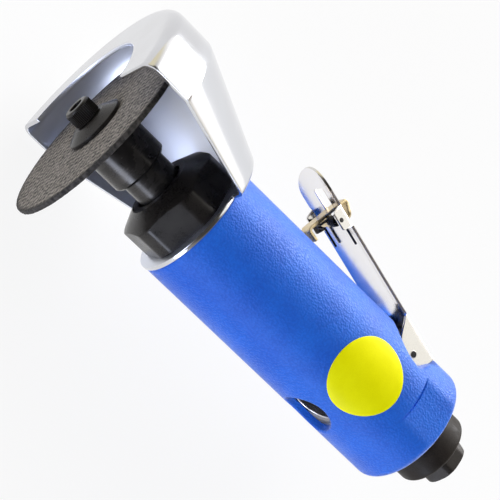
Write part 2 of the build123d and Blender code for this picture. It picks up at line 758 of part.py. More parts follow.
# Lever: pressed sheet with a round tip, cheeks at the hinge, ears and a slot for the latch
tip_r = lever_width / 2
slot_half = latch_half_width + 0.4
ear_mid = latch_from_hinge
with BuildPart() as throttle_lever:
    with BuildSketch(lever_plan.offset(lever_lift)):
        with Locations(((lever_length - tip_r - lever_tail) / 2, 0)):
            Rectangle(lever_length - tip_r + lever_tail, lever_width)
        with Locations((lever_length - tip_r, 0)):
            Circle(tip_r)
        with Locations((latch_from_hinge + (latch_slot_front - latch_slot_back) / 2, 0)):
            RectangleRounded(latch_slot_front + latch_slot_back, 2 * slot_half, 1.0, mode=Mode.SUBTRACT)
    extrude(amount=lever_sheet)
    for side in (1, -1):
        with BuildSketch(lever_section.offset(side * (lever_width - lever_sheet) / 2)):
            with BuildLine():
                Polyline((-lever_tail, lever_lift), (-lever_tail, 1.0), (-lever_tail + 1.5, -lever_cheek_low),
                         (2.5, -lever_cheek_low), (lever_cheek_front, lever_lift - 1.6),
                         (lever_cheek_front + 2.5, lever_lift), close=True)
            make_face()
            Circle(hinge_pin_r + run_fit, mode=Mode.SUBTRACT)
        extrude(amount=lever_sheet / 2, both=True)
        with BuildSketch(lever_section.offset(side * (lever_width - lever_sheet) / 2)):
            with BuildLine():
                Polyline((ear_mid - ear_length / 2, lever_lift), (ear_mid - ear_length / 2, lever_lift - ear_drop),
                         (ear_mid + ear_length / 2, lever_lift - ear_drop), (ear_mid + ear_length / 2, lever_lift),
                         close=True)
            make_face()
            with Locations((latch_from_hinge, latch_height)):
                Circle(latch_pin_r + seat_fit, mode=Mode.SUBTRACT)
        extrude(amount=lever_sheet / 2, both=True)

# Roll pin of the hinge, pressed into the housing's lug
with BuildPart() as lever_pin:
    with BuildSketch(Plane.XY):
        with Locations((x_hinge, y_hinge)):
            Circle(hinge_pin_r)
            Circle(hinge_pin_r - hinge_pin_wall, mode=Mode.SUBTRACT)
        with Locations((x_hinge, y_hinge + hinge_pin_r)):
            Rectangle(hinge_pin_slit, 2 * hinge_pin_r, mode=Mode.SUBTRACT)
    extrude(amount=lever_width / 2, both=True)

# Latch: strip in front of the spring, bent back at both ends: a finger tab above the lever and a foot over the body
latch_centre = on_lever(latch_from_hinge, latch_height, 0)
latch_section = Plane(origin=latch_centre, x_dir=along, z_dir=(0, 0, -1))
latch_plan = Plane(origin=latch_centre, x_dir=along, z_dir=outward)
latch_face = latch_coil_r + latch_wire_r + latch_bail_gap + latch_sheet
with BuildPart() as safety_latch:
    with BuildSketch(latch_section):
        with BuildLine():
            strip = FilletPolyline(
                (latch_face - latch_tab, latch_top - latch_tab_drop),
                (latch_face, latch_top),
                (latch_face, -latch_foot),
                (latch_face - latch_toe, -latch_foot + latch_toe_rise),
                radius=latch_bend)
            offset(strip, amount=latch_sheet, side=Side.RIGHT)
        make_face()
    extrude(amount=latch_half_width, both=True)
    with BuildSketch(latch_plan):
        with Locations((latch_face, 0)):
            RectangleRounded(2 * latch_tab, 2 * latch_half_width, latch_tab_round)
    extrude(amount=latch_top + latch_foot, both=True, mode=Mode.INTERSECT)
    with BuildSketch(latch_section):
        Circle(latch_barrel_r)
        with Locations(((latch_face - latch_sheet / 2) / 2, 0)):
            Rectangle(latch_face - latch_sheet / 2, 2 * latch_pin_r)
    extrude(amount=latch_hub_half, both=True)
    with BuildSketch(latch_section):
        Circle(latch_pin_r + run_fit)
    extrude(amount=latch_half_width, both=True, mode=Mode.SUBTRACT)

with BuildPart() as latch_pin:
    with BuildSketch(latch_section):
        Circle(latch_pin_r)
    extrude(amount=lever_width / 2, both=True)

# Latch spring: leg under the plate, coil round the pin, bail behind the foot, and the same on the other side
coil_end_z = latch_leg_z - latch_coil_pitch * latch_coil_quarters / 4
half_path = [(Vector(-latch_leg_length, latch_coil_r, latch_leg_z), Vector(1, 0, 0)),
             (Vector(0, latch_coil_r, latch_leg_z), Vector(1, 0, 0))]
for i in range(1, latch_coil_quarters + 1):
    a = pi / 2 - i * pi / 2
    rise = -latch_coil_pitch / (2 * pi * latch_coil_r)
    if i == latch_coil_quarters:
        rise = 0
    half_path.append((Vector(latch_coil_r * cos(a), latch_coil_r * sin(a), latch_leg_z - latch_coil_pitch * i / 4),
                      Vector(sin(a), -cos(a), rise).normalized()))
half_path.append((Vector(latch_coil_r, -latch_bail_reach + latch_bail_round, coil_end_z), Vector(0, -1, 0)))
half_path.append((Vector(latch_coil_r, -latch_bail_reach, coil_end_z - latch_bail_round), Vector(0, 0, -1)))
other_half = [(Vector(p.X, p.Y, -p.Z), Vector(-t.X, -t.Y, t.Z)) for p, t in reversed(half_path)]
route = [(latch_centre + along * p.X + outward * p.Y + Vector(0, 0, p.Z),
          along * t.X + outward * t.Y + Vector(0, 0, t.Z)) for p, t in half_path + other_half]
with BuildPart() as latch_spring:
    with BuildLine() as latch_wire:
        for (p0, t0), (p1, t1) in zip(route[:-1], route[1:]):
            if straight(p0, t0, p1):
                Line(p0, p1)
            else:
                q, tq = biarc(p0, t0, p1, t1)
                TangentArc(p0, q, tangent=t0)
                TangentArc(q, p1, tangent=tq)
    with BuildSketch(Plane(origin=route[0][0], z_dir=route[0][1])):
        Circle(latch_wire_r)
    sweep(path=latch_wire.line)
latch_points = [latch_wire.wires()[0].position_at(i / 500) for i in range(501)]
print("latch spring, least gap to itself:", round(least_gap(latch_points, latch_wire_r), 3), "mm")

# Valve bush, screwed in under the lever, with its O-ring
bush_groove_r = bush_r - 2 * valve_ring_section
bush_groove_low = valve_seat + 2.0
bush_groove_high = bush_groove_low + 2 * valve_ring_section + 0.3
with BuildPart() as valve_bush:
    revolve(
        about_y(x_valve, (stem_r + run_fit, -valve_seat), (bush_r, -valve_seat), (bush_r, -bush_groove_low),
                (bush_groove_r, -bush_groove_low), (bush_groove_r, -bush_groove_high), (bush_r, -bush_groove_high),
                (bush_r, -valve_top + 1.0), (bush_r - 1.0, -valve_top), (stem_r + run_fit, -valve_top)),
        axis=valve_axis)

with BuildPart() as valve_o_ring:
    with BuildSketch():
        with Locations((x_valve + bush_groove_r + valve_ring_section, -(bush_groove_low + bush_groove_high) / 2)):
            Circle(valve_ring_section - seat_fit)
    revolve(axis=valve_axis)

# Valve stem: its round tip touches the lever's underside, its head closes on the bush
tip_y = y_hinge - (lever_lift + valve_from_hinge * lever_sin) / lever_cos + (stem_r + stem_gap) / lever_cos
head_y = -valve_seat + face_fit
with BuildPart() as valve_stem:
    with BuildSketch():
        with BuildLine():
            Polyline((x_valve, tip_y - stem_r), (x_valve, head_y + valve_head_height),
                     (x_valve + valve_head_r, head_y + valve_head_height), (x_valve + valve_head_r, head_y),
                     (x_valve + stem_r, head_y), (x_valve + stem_r, tip_y))
            RadiusArc((x_valve + stem_r, tip_y), (x_valve, tip_y - stem_r), stem_r)
        make_face()
    revolve(axis=valve_axis)

# Valve spring under the head
spring_low = head_y + valve_head_height + valve_wire_r + face_fit
spring_high = chamber_end - valve_wire_r - face_fit
quarters = 4 * valve_coil_turns
climb = (spring_high - spring_low) / (2 * pi * valve_coil_r * valve_coil_turns)
coil = []
for i in range(quarters + 1):
    a = i * pi / 2
    coil.append((Vector(x_valve + valve_coil_r * cos(a), spring_low + (spring_high - spring_low) * i / quarters,
                        valve_coil_r * sin(a)),
                 Vector(-sin(a), climb, cos(a)).normalized()))
with BuildPart() as valve_spring:
    with BuildLine() as valve_wire:
        for (p0, t0), (p1, t1) in zip(coil[:-1], coil[1:]):
            q, tq = biarc(p0, t0, p1, t1)
            TangentArc(p0, q, tangent=t0)
            TangentArc(q, p1, tangent=tq)
    with BuildSketch(Plane(origin=coil[0][0], z_dir=coil[0][1])):
        Circle(valve_wire_r)
    sweep(path=valve_wire.line)
valve_points = [valve_wire.wires()[0].position_at(i / 500) for i in range(501)]
print("valve spring, least gap to itself:", round(least_gap(valve_points, valve_wire_r), 3), "mm")

pieces = {
    "housing": housing,
    "grip_sleeve": grip_sleeve,
    "label_disc": label_disc,
    "guard": guard,
    "clamp_nut": clamp_nut,
    "front_bearing_outer": front_bearing_outer,
    "front_bearing_inner": front_bearing_inner,
    "front_bearing_balls": front_bearing_balls,
    "front_plate": front_plate,
    "cylinder": cylinder,
    "cylinder_pin": cylinder_pin,
    "rotor": rotor,
    "rotor_vanes": rotor_vanes,
    "rear_plate": rear_plate,
    "rear_bearing_outer": rear_bearing_outer,
    "rear_bearing_inner": rear_bearing_inner,
    "rear_bearing_balls": rear_bearing_balls,
    "motor_gasket": motor_gasket,
    "spindle": spindle,
    "inner_flange": inner_flange,
    "cutting_wheel": cutting_wheel,
    "outer_flange": outer_flange,
    "cap_screw": cap_screw,
    "throttle_lever": throttle_lever,
    "lever_pin": lever_pin,
    "safety_latch": safety_latch,
    "latch_pin": latch_pin,
    "latch_spring": latch_spring,
    "valve_bush": valve_bush,
    "valve_stem": valve_stem,
    "valve_spring": valve_spring,
    "valve_o_ring": valve_o_ring,
    "regulator": regulator,
    "regulator_ring": regulator_ring,
    "regulator_o_ring": regulator_o_ring,
    "exhaust_deflector": exhaust_deflector,
    "muffler_felt": muffler_felt,
    "inlet_bushing": inlet_bushing,
    "inlet_screen": inlet_screen,
}
for name, piece in pieces.items():
    piece.part.label = name
    export_step(piece.part, f"parts/{name}.step")
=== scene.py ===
import json
from math import acos, asin, cos, hypot, pi, radians, sin, sqrt, tan

import bmesh
import bpy
from mathutils import Matrix, Vector, noise


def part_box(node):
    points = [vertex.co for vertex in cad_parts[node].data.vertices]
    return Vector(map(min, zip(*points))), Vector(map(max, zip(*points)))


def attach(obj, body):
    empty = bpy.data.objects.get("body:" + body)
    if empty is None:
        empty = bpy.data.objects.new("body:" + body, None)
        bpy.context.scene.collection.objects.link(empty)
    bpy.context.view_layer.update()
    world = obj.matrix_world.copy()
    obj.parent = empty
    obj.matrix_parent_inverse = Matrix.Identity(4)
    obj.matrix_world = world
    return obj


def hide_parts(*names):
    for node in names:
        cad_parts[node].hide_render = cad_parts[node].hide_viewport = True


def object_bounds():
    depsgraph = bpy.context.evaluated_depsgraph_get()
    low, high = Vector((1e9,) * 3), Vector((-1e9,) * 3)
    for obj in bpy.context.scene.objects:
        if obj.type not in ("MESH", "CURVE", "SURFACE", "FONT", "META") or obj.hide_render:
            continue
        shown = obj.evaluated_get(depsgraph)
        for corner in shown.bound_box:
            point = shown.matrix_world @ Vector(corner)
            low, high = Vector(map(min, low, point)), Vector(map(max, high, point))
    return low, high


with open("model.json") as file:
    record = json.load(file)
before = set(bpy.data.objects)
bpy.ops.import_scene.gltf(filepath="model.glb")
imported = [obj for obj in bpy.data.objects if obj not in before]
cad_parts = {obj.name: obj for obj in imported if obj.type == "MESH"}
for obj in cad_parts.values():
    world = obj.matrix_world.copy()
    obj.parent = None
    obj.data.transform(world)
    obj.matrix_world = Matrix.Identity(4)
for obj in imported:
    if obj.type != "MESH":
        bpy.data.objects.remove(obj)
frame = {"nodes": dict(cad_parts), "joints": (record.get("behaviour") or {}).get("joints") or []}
cad_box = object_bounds()

# Housing: the aluminium body that carries every other part, cast and then bored for the motor,
# the throttle valve and the regulator. Only its hinge lug shows, in the scoop of the grip.
mm = 0.001
grain_low = 0.3
grain_high = 0.7
metal = {"Metallic": 1.0}


class Socket:
    """An output of a shader node; sums on it add the nodes that work them out."""

    def __init__(self, output):
        self.output = output

    def node(self, kind, settings, inputs, result=0):
        """A new node of the same tree: its settings first, then the values or links of its sockets."""
        tree = self.output.id_data
        made = tree.nodes.new("ShaderNode" + kind)
        for key, value in settings.items():
            setattr(made, key, value)
        for key, value in inputs.items():
            if isinstance(value, Socket):
                tree.links.new(value.output, made.inputs[key])
            else:
                made.inputs[key].default_value = value
        return Socket(made.outputs[result])

    def math(self, operation, *values):
        return self.node("Math", {"operation": operation}, dict(enumerate(values)))

    def __add__(self, other):
        return self.math("ADD", self, other)

    def __sub__(self, other):
        return self.math("SUBTRACT", self, other)

    def __rsub__(self, other):
        return self.math("SUBTRACT", other, self)

    def __mul__(self, other):
        return self.math("MULTIPLY", self, other)

    __radd__ = __add__
    __rmul__ = __mul__

    def ease(self, low, high, start=0.0, end=1.0):
        """start where this is under low, end where it is over high, and a soft change between."""
        limits = {"From Min": low, "From Max": high, "To Min": start, "To Max": end}
        return self.node("MapRange", {"interpolation_type": "SMOOTHSTEP"}, {"Value": self, **limits})

    def stretch(self, start=0.0, end=1.0):
        """The values that a grain mostly has, taken from start to end."""
        return self.ease(grain_low, grain_high, start, end)

    def tint(self, low, high):
        """The colour low where this is 0 and the colour high where it is 1."""
        low, high = (c if isinstance(c, Socket) else (*c, 1) for c in (low, high))
        return self.node("Mix", {"data_type": "RGBA"}, {0: self, 6: low, 7: high}, 2)

    def axis(self, index):
        return self.node("SeparateXYZ", {}, {0: self}, index)

    def grain(self, size, detail=2.0):
        return self.node("TexNoise", {}, {"Vector": self, "Scale": 1 / size, "Detail": detail})

    def lines(self, index, size):
        """Grain that changes along one axis only, as turning marks and layers do."""
        return self.node("TexNoise", {"noise_dimensions": "1D"}, {"W": self.axis(index), "Scale": 1 / size})

    def bump(self, strength, depth):
        return self.node("Bump", {}, {"Strength": strength, "Distance": depth, "Height": self})


def finish(name, fixed, varying=None):
    """A new material: fixed sockets of its shader, and sockets fed by sums of the place in metres."""
    material = bpy.data.materials.new(name)
    material.use_nodes = True
    tree = material.node_tree
    shader = tree.nodes["Principled BSDF"]
    for key, value in fixed.items():
        shader.inputs[key].default_value = value
    if varying:
        place = Socket(tree.nodes.new("ShaderNodeTexCoord").outputs["Object"])
        for key, value in varying(place).items():
            tree.links.new(value.output, shader.inputs[key])
    return material


def speckled(low, high, size, detail=2.0, axis=None, rough=None, rough_size=None, relief=None):
    """Sums for a finish of one grain, or of lines along an axis: two colours, roughness and relief."""
    def varying(place):
        speck = place.grain(size, detail) if axis is None else place.lines(axis, size)
        sums = {"Base Color": speck.tint(low, high)}
        if rough:
            sums["Roughness"] = (place.grain(rough_size) if rough_size else speck).stretch(*rough)
        if relief:
            sums["Normal"] = speck.bump(*relief)
        return sums
    return varying


def dress(name, fixed, varying, *nodes):
    """Makes a material and gives it to CAD nodes, whose shape is right as it is."""
    material = finish(name, fixed, varying)
    for node in nodes:
        slots = frame["nodes"][node].data.materials
        slots.clear()
        slots.append(material)
    return material


dress("cast_aluminium", metal, speckled(
    (0.50, 0.50, 0.52), (0.72, 0.72, 0.73), 0.5 * mm, 3,
    rough=(0.35, 0.55), rough_size=2 * mm, relief=(0.25, 0.04 * mm)), "housing")

# Vane motor: hardened and ground steel cylinder, end plates, rotor and dowel, with four laminate vanes
# and a fibre gasket. They slide into the housing from the front, one behind the other.
dress("ground_steel", metal, speckled(
    (0.42, 0.42, 0.43), (0.60, 0.60, 0.61), 0.15 * mm, axis=0, rough=(0.18, 0.32), relief=(0.1, 0.01 * mm)),
    "cylinder", "front_plate", "rear_plate", "rotor", "cylinder_pin")
dress("gasket_fibre", {"Roughness": 0.85}, speckled(
    (0.30, 0.24, 0.15), (0.52, 0.44, 0.31), 0.6 * mm, 4, relief=(0.4, 0.05 * mm)), "motor_gasket")
dress("vane_laminate", {}, speckled(
    (0.28, 0.17, 0.08), (0.46, 0.32, 0.18), 0.3 * mm, axis=2,
    rough=(0.4, 0.6), rough_size=1.5 * mm, relief=(0.2, 0.02 * mm)), "rotor_vanes")

# Ball bearings at the two ends of the rotor: lapped steel rings with a row of balls between them,
# pressed into the end plates of the motor.
dress("bearing_steel", metal, speckled(
    (0.62, 0.62, 0.63), (0.74, 0.73, 0.71), 4 * mm, rough=(0.07, 0.14)),
    "front_bearing_outer", "front_bearing_inner", "front_bearing_balls",
    "rear_bearing_outer", "rear_bearing_inner", "rear_bearing_balls")

# Grip sleeve: soft blue plastic moulded over the housing, with a fine leathery grain all over. It has
# a scoop under the lever, flats beside the air inlet and a round window for the regulator.
x_rear, x_front = (corner.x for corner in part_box("grip_sleeve"))
sleeve_rear_r = 23.6 * mm
sleeve_front_r = 22.9 * mm
sleeve_bore_r = 20.6 * mm
rear_hole_r = 14.8 * mm
rear_wall = 2.0 * mm
rear_round = 3.6 * mm
mouth_round = 0.6 * mm
edge_blend = 0.5 * mm

flat_half = 21.8 * mm
flat_blend = 0.7 * mm
flat_stop = 0.05 * mm
groove_depth = 0.45 * mm
groove_width = 0.5 * mm
groove_lean = 0.7
x_flat_end = x_rear + 17.0 * mm

boss_rise = 26.5 * mm
boss_foot_round = 2.5 * mm
x_boss = x_rear + 10.3 * mm
x_boss_foot = x_rear + 20.1 * mm
x_stall = x_rear + 10.8 * mm
x_stall_foot = x_rear + 14.5 * mm
stall_half = 0.53
stall_fade = 0.16

scoop_r = 14.0 * mm
scoop_x = x_rear + 21.5 * mm
scoop_end = scoop_x + scoop_r
scoop_drop = 25.1 * mm
scoop_blend = 2.6 * mm
skin_under_scoop = 1.2 * mm
floor_drop = scoop_drop - scoop_r
x_floor = scoop_x + 1.5 * mm
x_floor_end = scoop_x + 3 * mm
no_scoop = 1.0

window_x = x_rear + 37.0 * mm
window_r = 9.3 * mm
window_round = 0.9 * mm
window_margin = 15.0 * mm
window_cells = 14
skin_spokes = 240
same_place = 1e-7


def vert(form, x, r, angle):
    """A new vertex at x along the spindle's axis and at a radius and angle about it."""
    return form.verts.new((x, r * cos(angle), r * sin(angle)))


def loft(form, rows, wrap=True, keep=None):
    """Faces between neighbouring rows of vertices. A row of one vertex is a pole; repeats fold a face."""
    for i, (low, high) in enumerate(zip(rows, rows[1:])):
        count = max(len(low), len(high))
        for k in range(count if wrap else count - 1):
            if keep and not keep(i, k):
                continue
            n = k + 1
            corners = [low[k % len(low)], low[n % len(low)], high[n % len(high)], high[k % len(high)]]
            corners = list(dict.fromkeys(corners))
            if len(corners) > 2:
                form.faces.new(corners)


def settle(made, body, slot, *nodes):
    """Puts a new object in the scene, on its body, in place of the CAD nodes it stands for; slot is not used.
    """
    bpy.context.scene.collection.objects.link(made)
    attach(made, body)
    if nodes:
        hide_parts(*nodes)
    return made


def piece(name, form, material, body, slot, *nodes, sharp=35):
    """Makes an object of a finished form; edges over the angle sharp stay sharp."""
    bmesh.ops.dissolve_degenerate(form, dist=same_place, edges=form.edges)
    bmesh.ops.delete(form, geom=[v for v in form.verts if not v.link_faces], context="VERTS")
    bmesh.ops.recalc_face_normals(form, faces=form.faces)
    mesh = bpy.data.meshes.new(name)
    form.to_mesh(mesh)
    form.free()
    mesh.materials.append(material)
    mesh.shade_smooth()
    mesh.set_sharp_from_angle(angle=radians(sharp))
    return settle(bpy.data.objects.new(name, mesh), body, slot, *nodes)


def spread(start, end, step):
    """Places from start to end, evenly spaced by about step, without the last."""
    count = max(1, round(abs(end - start) / step))
    return [start + (end - start) * i / count for i in range(count)]


def stations(*marks):
    """Places along a run, without its end. The marks are places, with the step between each two."""
    places = []
    for start, step, end in zip(marks[::2], marks[1::2], marks[2::2]):
        places += spread(start, end, step)
    return places


def soft_least(a, b, blend):
    near = max(blend - abs(a - b), 0) / blend
    return min(a, b) - near * near * blend / 4


def sleeve_radius(x):
    return sleeve_rear_r + (sleeve_front_r - sleeve_rear_r) * (x - x_rear) / (x_front - x_rear)


window_skin_r = sleeve_radius(window_x)
window_half = window_skin_r * window_cells * 2 * pi / skin_spokes
x_window_low = window_x - window_half
x_window_high = window_x + window_half


def round_window(x, angle, radius):
    """Moves a place of the grid so that the block left out for the window has a round edge of that radius."""
    along = x - window_x
    across = ((angle + pi) % (2 * pi) - pi) * window_skin_r
    square = max(abs(along), abs(across))
    if square > window_margin or square < same_place:
        return x, angle
    stretch = hypot(along, across) / square
    share = (square - window_half) / (window_margin - window_half)
    grown = radius + (window_margin * stretch - radius) * share
    scale = grown / hypot(along, across)
    return window_x + along * scale, across * scale / window_skin_r


def rounded(*corners, loop=False, steps=5):
    """Points of an outline whose corners (x, y, fillet) are rounded by arcs of their fillet."""
    points = []
    for i, (x, y, fillet) in enumerate(corners):
        here = Vector((x, y))
        if fillet == 0 or not loop and i in (0, len(corners) - 1):
            points.append(here)
            continue
        back = (Vector(corners[i - 1][:2]) - here).normalized()
        on = (Vector(corners[(i + 1) % len(corners)][:2]) - here).normalized()
        turn = back.angle(on)
        centre = here + (back + on).normalized() * (fillet / sin(turn / 2))
        start = here + back * (fillet / tan(turn / 2)) - centre
        end = here + on * (fillet / tan(turn / 2)) - centre
        sweep = pi - turn
        for k in range(steps + 1):
            t = sweep * k / steps
            points.append(centre + (start * sin(sweep - t) + end * sin(t)) / sin(sweep))
    return points


def slope_to_floor(x_top, x_foot):
    """Outline of a front of the boss: down to its foot, then along the floor of the scoop."""
    foot = (x_foot, floor_drop, boss_foot_round)
    return rounded((x_top, boss_rise, 0), foot, (x_floor_end, floor_drop, 0), steps=8)


boss_outline = slope_to_floor(x_boss, x_boss_foot)
stall_outline = slope_to_floor(x_stall, x_stall_foot)


def height_on(outline, x):
    for p, q in zip(outline, outline[1:]):
        if p.x <= x <= q.x:
            return p.y + (q.y - p.y) * (x - p.x) / (q.x - p.x)
    return boss_rise


def reach_of_skin(x, angle, under):
    """How far the skin reaches on the lever's side: down the front of the boss, which is steep behind the
    lever and slopes beside it, then along the scoop. under is 0 on its outer face."""
    if x > x_floor:
        across = (scoop_r + under) ** 2 - (x - scoop_x) ** 2
        return scoop_drop - sqrt(across) if across > 0 else no_scoop
    if x < x_boss:
        return no_scoop
    beside = min(1.0, max(0.0, (abs(sin(angle)) - stall_half) / stall_fade))
    beside = beside * beside * (3 - 2 * beside)
    stall = height_on(stall_outline, x)
    return stall + (height_on(boss_outline, x) - stall) * beside - under


grip = bmesh.new()


def skin_ring(x, cap, under=0.0, blend=edge_blend, hole=window_r):
    """One ring of the skin: cap is its radius, cut down by the flats and, under it, by the boss and scoop."""
    ring = []
    for k in range(skin_spokes):
        place, angle = round_window(x, 2 * pi * k / skin_spokes, hole)
        r = cap(place)
        if place < x_flat_end - flat_stop:
            flat = flat_half / max(abs(sin(angle)), 0.01)
            if place > x_flat_end - groove_width - groove_lean * (r - flat):
                flat -= groove_depth
            r = soft_least(r, flat, flat_blend)
        if cos(angle) < -0.02:
            r = soft_least(r, reach_of_skin(x, angle, under) / -cos(angle), blend)
        ring.append(vert(grip, place, r, angle))
    return ring


def quarter(count):
    """Sine and cosine of each step of a quarter turn, with its end."""
    return [(sin(pi / 2 * k / count), cos(pi / 2 * k / count)) for k in range(count + 1)]


# Rings lie closer together at the end of the flats, on the boss and at the end of the scoop.
places = stations(x_rear + rear_round, 0.8 * mm, x_boss, 0.4 * mm,
                  x_flat_end - 1.8 * mm, 0.2 * mm, x_flat_end - 0.2 * mm)
places += [x_flat_end + past * mm for past in (-0.2, -0.1, 0.0, 0.12)]
places += stations(x_flat_end + 0.5 * mm, 0.4 * mm, x_floor, 0.7 * mm,
                   x_window_low, 0.6 * mm, scoop_end - 1 * mm)
places += [scoop_end - left * mm for left in (1.0, 0.7, 0.45, 0.25, 0.12, 0.04)]
places += stations(scoop_end + 0.2 * mm, 0.7 * mm, x_window_high, 1.2 * mm, x_front - mouth_round)

outer = [skin_ring(x_rear, lambda x: r) for r in (rear_hole_r, 16.5 * mm, 18.5 * mm)]
for s, c in quarter(8)[:-1]:
    outer.append(skin_ring(x_rear + rear_round * (1 - c), lambda x: sleeve_rear_r - rear_round * (1 - s)))
outer_start = len(outer)
outer += [skin_ring(x, sleeve_radius, 0.0, scoop_blend, window_r + window_round) for x in places]
for s, c in quarter(4):
    outer.append(skin_ring(x_front - mouth_round * (1 - s), lambda x: sleeve_front_r - mouth_round * (1 - c)))
inner = [skin_ring(x_rear + rear_wall, lambda x: rear_hole_r)]
inner_start = len(inner)
inner += [skin_ring(x, lambda x: sleeve_bore_r, skin_under_scoop) for x in places]
inner.append(skin_ring(x_front, lambda x: sleeve_bore_r))
window_ends = (places.index(x_window_low), places.index(x_window_high))


def round_block(rows, start):
    """Vertices round the block left out for the window, in order; start is the row of the first place."""
    c = window_cells
    first, last = (start + end for end in window_ends)
    edge = [rows[first][j] for j in range(-c, c)]
    edge += [rows[i][c] for i in range(first, last)]
    edge += [rows[last][j] for j in range(c, -c, -1)]
    edge += [rows[i][-c] for i in range(last, first, -1)]
    return edge


for rows, start in ((outer, outer_start), (inner, inner_start)):
    first, last = (start + end for end in window_ends)
    beyond = skin_spokes - window_cells
    loft(grip, rows, keep=lambda i, k: not (first <= i < last and (k < window_cells or k >= beyond)))
loft(grip, [outer[-1], inner[-1]])
loft(grip, [outer[0], inner[0]])
rim = [round_block(outer, outer_start)]
for s, c in quarter(5)[1:]:
    ring = []
    for v in rim[0]:
        along = v.co.x - window_x
        across = asin(v.co.z / hypot(v.co.y, v.co.z)) * window_skin_r
        scale = (window_r + window_round * (1 - s)) / hypot(along, across)
        r = sleeve_radius(v.co.x) - window_round * (1 - c)
        ring.append(vert(grip, window_x + along * scale, r, across * scale / window_skin_r))
    rim.append(ring)
rim.append(round_block(inner, inner_start))
loft(grip, rim)


def leathery(place):
    pebble = place.node("TexVoronoi", {"feature": "SMOOTH_F1"}, {"Vector": place, "Scale": 1 / (0.75 * mm)})
    dome = pebble.ease(0.1, 0.7)
    fine = place.grain(0.25 * mm, 3)
    broad = place.grain(14 * mm, 3)
    shade = broad.stretch() * 0.35 + fine.stretch() * 0.3 + dome * 0.35
    return {
        "Base Color": shade.tint((0.014, 0.162, 0.74), (0.007, 0.088, 0.53)),
        "Roughness": (dome + fine).ease(0.4, 1.4, 0.34, 0.55),
        "Normal": (fine * 0.6 - dome).bump(0.6, 0.13 * mm),
    }


soft_touch = {"Specular IOR Level": 0.22, "Sheen Weight": 0.5, "Sheen Roughness": 0.4}
blue_skin = finish("blue_skin", soft_touch, leathery)
piece("grip_sleeve_skin", grip, blue_skin, "body", "blue_skin", "grip_sleeve", sharp=50)

# Sticker: a round of bright yellow film, die-cut and stuck on the side of the grip, level with the
# regulator's window but further round. Its face is left bare.
label_x = window_x
label_r = 13.9 * mm
label_angle = radians(74.0)
label_lift = 0.22 * mm
label_under = 0.02 * mm
label_edge = 0.10 * mm
label_rings = 12
label_spokes = 96

film = bmesh.new()


def label_row(reach, lift, spokes=label_spokes):
    """Vertices round the sticker's centre, at a height over the grip; one spoke at no reach is the centre."""
    row = []
    for k in range(spokes):
        x = label_x + reach * cos(2 * pi * k / spokes)
        r = sleeve_radius(x)
        angle = label_angle - asin(reach * sin(2 * pi * k / spokes) / r)
        row.append(vert(film, x, r + lift, angle))
    return row


label_bevel = 0.3 * label_edge
reaches = [label_r * k / label_rings for k in range(1, label_rings)]
rows = [label_row(0.0, label_lift, 1)]
rows += [label_row(reach, label_lift) for reach in reaches]
rows.append(label_row(label_r - label_edge, label_lift))
rows.append(label_row(label_r - label_bevel, label_lift - label_bevel))
rows += [label_row(label_r, label_lift - label_edge), label_row(label_r, label_under)]
rows += [label_row(reach, label_under) for reach in reversed(reaches)]
rows.append(label_row(0.0, label_under, 1))
loft(film, rows)


def printed_film(place):
    ink = place.grain(0.35 * mm, 2)
    ripple = place.grain(5 * mm, 2)
    return {
        "Base Color": (ink * 0.5 + ripple * 0.5).stretch().tint((0.90, 0.86, 0.002), (0.96, 0.93, 0.004)),
        "Roughness": ripple.stretch(0.28, 0.42),
        "Normal": (ripple + ink * 0.1).bump(0.12, 0.10 * mm),
    }


yellow_film = finish("yellow_film", {"Specular IOR Level": 0.06}, printed_film)
piece("sticker", film, yellow_film, "body", "yellow_sticker", "label_disc")

# Regulator: a slotted black plug that turns in its bore to set the air, with an O-ring round it, kept in
# by a bright plated ring at the bottom of the window.
ring_low, ring_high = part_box("regulator_ring")
ring_r = (ring_high.x - ring_low.x) / 2
ring_bore_r = ring_r - 1.5 * mm
ring_face = ring_high.y + 0.9 * mm


def turned(outline, spokes, shape=None, loop=False):
    """A lathe-cut form about the X axis; shape(x, radius, angle) may change a radius, as for a hexagon."""
    form = bmesh.new()
    rows = []
    for x, r in outline:
        ring = []
        for k in range(spokes if r > same_place else 1):
            a = 2 * pi * k / spokes
            ring.append(vert(form, x, shape(x, r, a) if shape else r, a))
        rows.append(ring)
    if loop:
        rows.append(rows[0])
    loft(form, rows)
    return form


def clouded(low, high, cloud_size, fine_size, rough, relief):
    """Sums for a finish with broad clouds of colour and a fine relief."""
    def varying(place):
        cloud = place.grain(cloud_size, 3)
        fine = place.grain(fine_size, 2)
        return {
            "Base Color": cloud.tint(low, high),
            "Roughness": (cloud + fine).ease(0.7, 1.3, *rough),
            "Normal": fine.bump(*relief),
        }
    return varying


keeper_outline = rounded(
    (ring_low.y, ring_bore_r, 0.1 * mm), (ring_low.y, ring_r, 0.1 * mm),
    (ring_face, ring_r, 0.2 * mm), (ring_face, ring_bore_r, 0.5 * mm), loop=True)
keeper = turned(keeper_outline, 96, loop=True)
keeper.transform(Matrix.Translation((window_x, 0, 0)) @ Matrix.Rotation(pi / 2, 4, "Z"))
moulded_black = speckled(
    (0.006, 0.005, 0.005), (0.016, 0.014, 0.013), 0.3 * mm, 3,
    rough=(0.38, 0.56), rough_size=3 * mm, relief=(0.2, 0.03 * mm))
bright_nickel = finish("bright_nickel", metal, clouded(
    (0.64, 0.63, 0.61), (0.74, 0.72, 0.68), 5 * mm, 0.5 * mm, rough=(0.13, 0.24), relief=(0.06, 0.01 * mm)))
dress("black_plastic", {"Specular IOR Level": 0.25}, moulded_black, "regulator")
seal_rubber = dress("seal_rubber", {"Specular IOR Level": 0.3}, moulded_black,
                    "regulator_o_ring", "valve_o_ring")
piece("regulator_keeper", keeper, bright_nickel, "body", "bright_nickel", "regulator_ring")

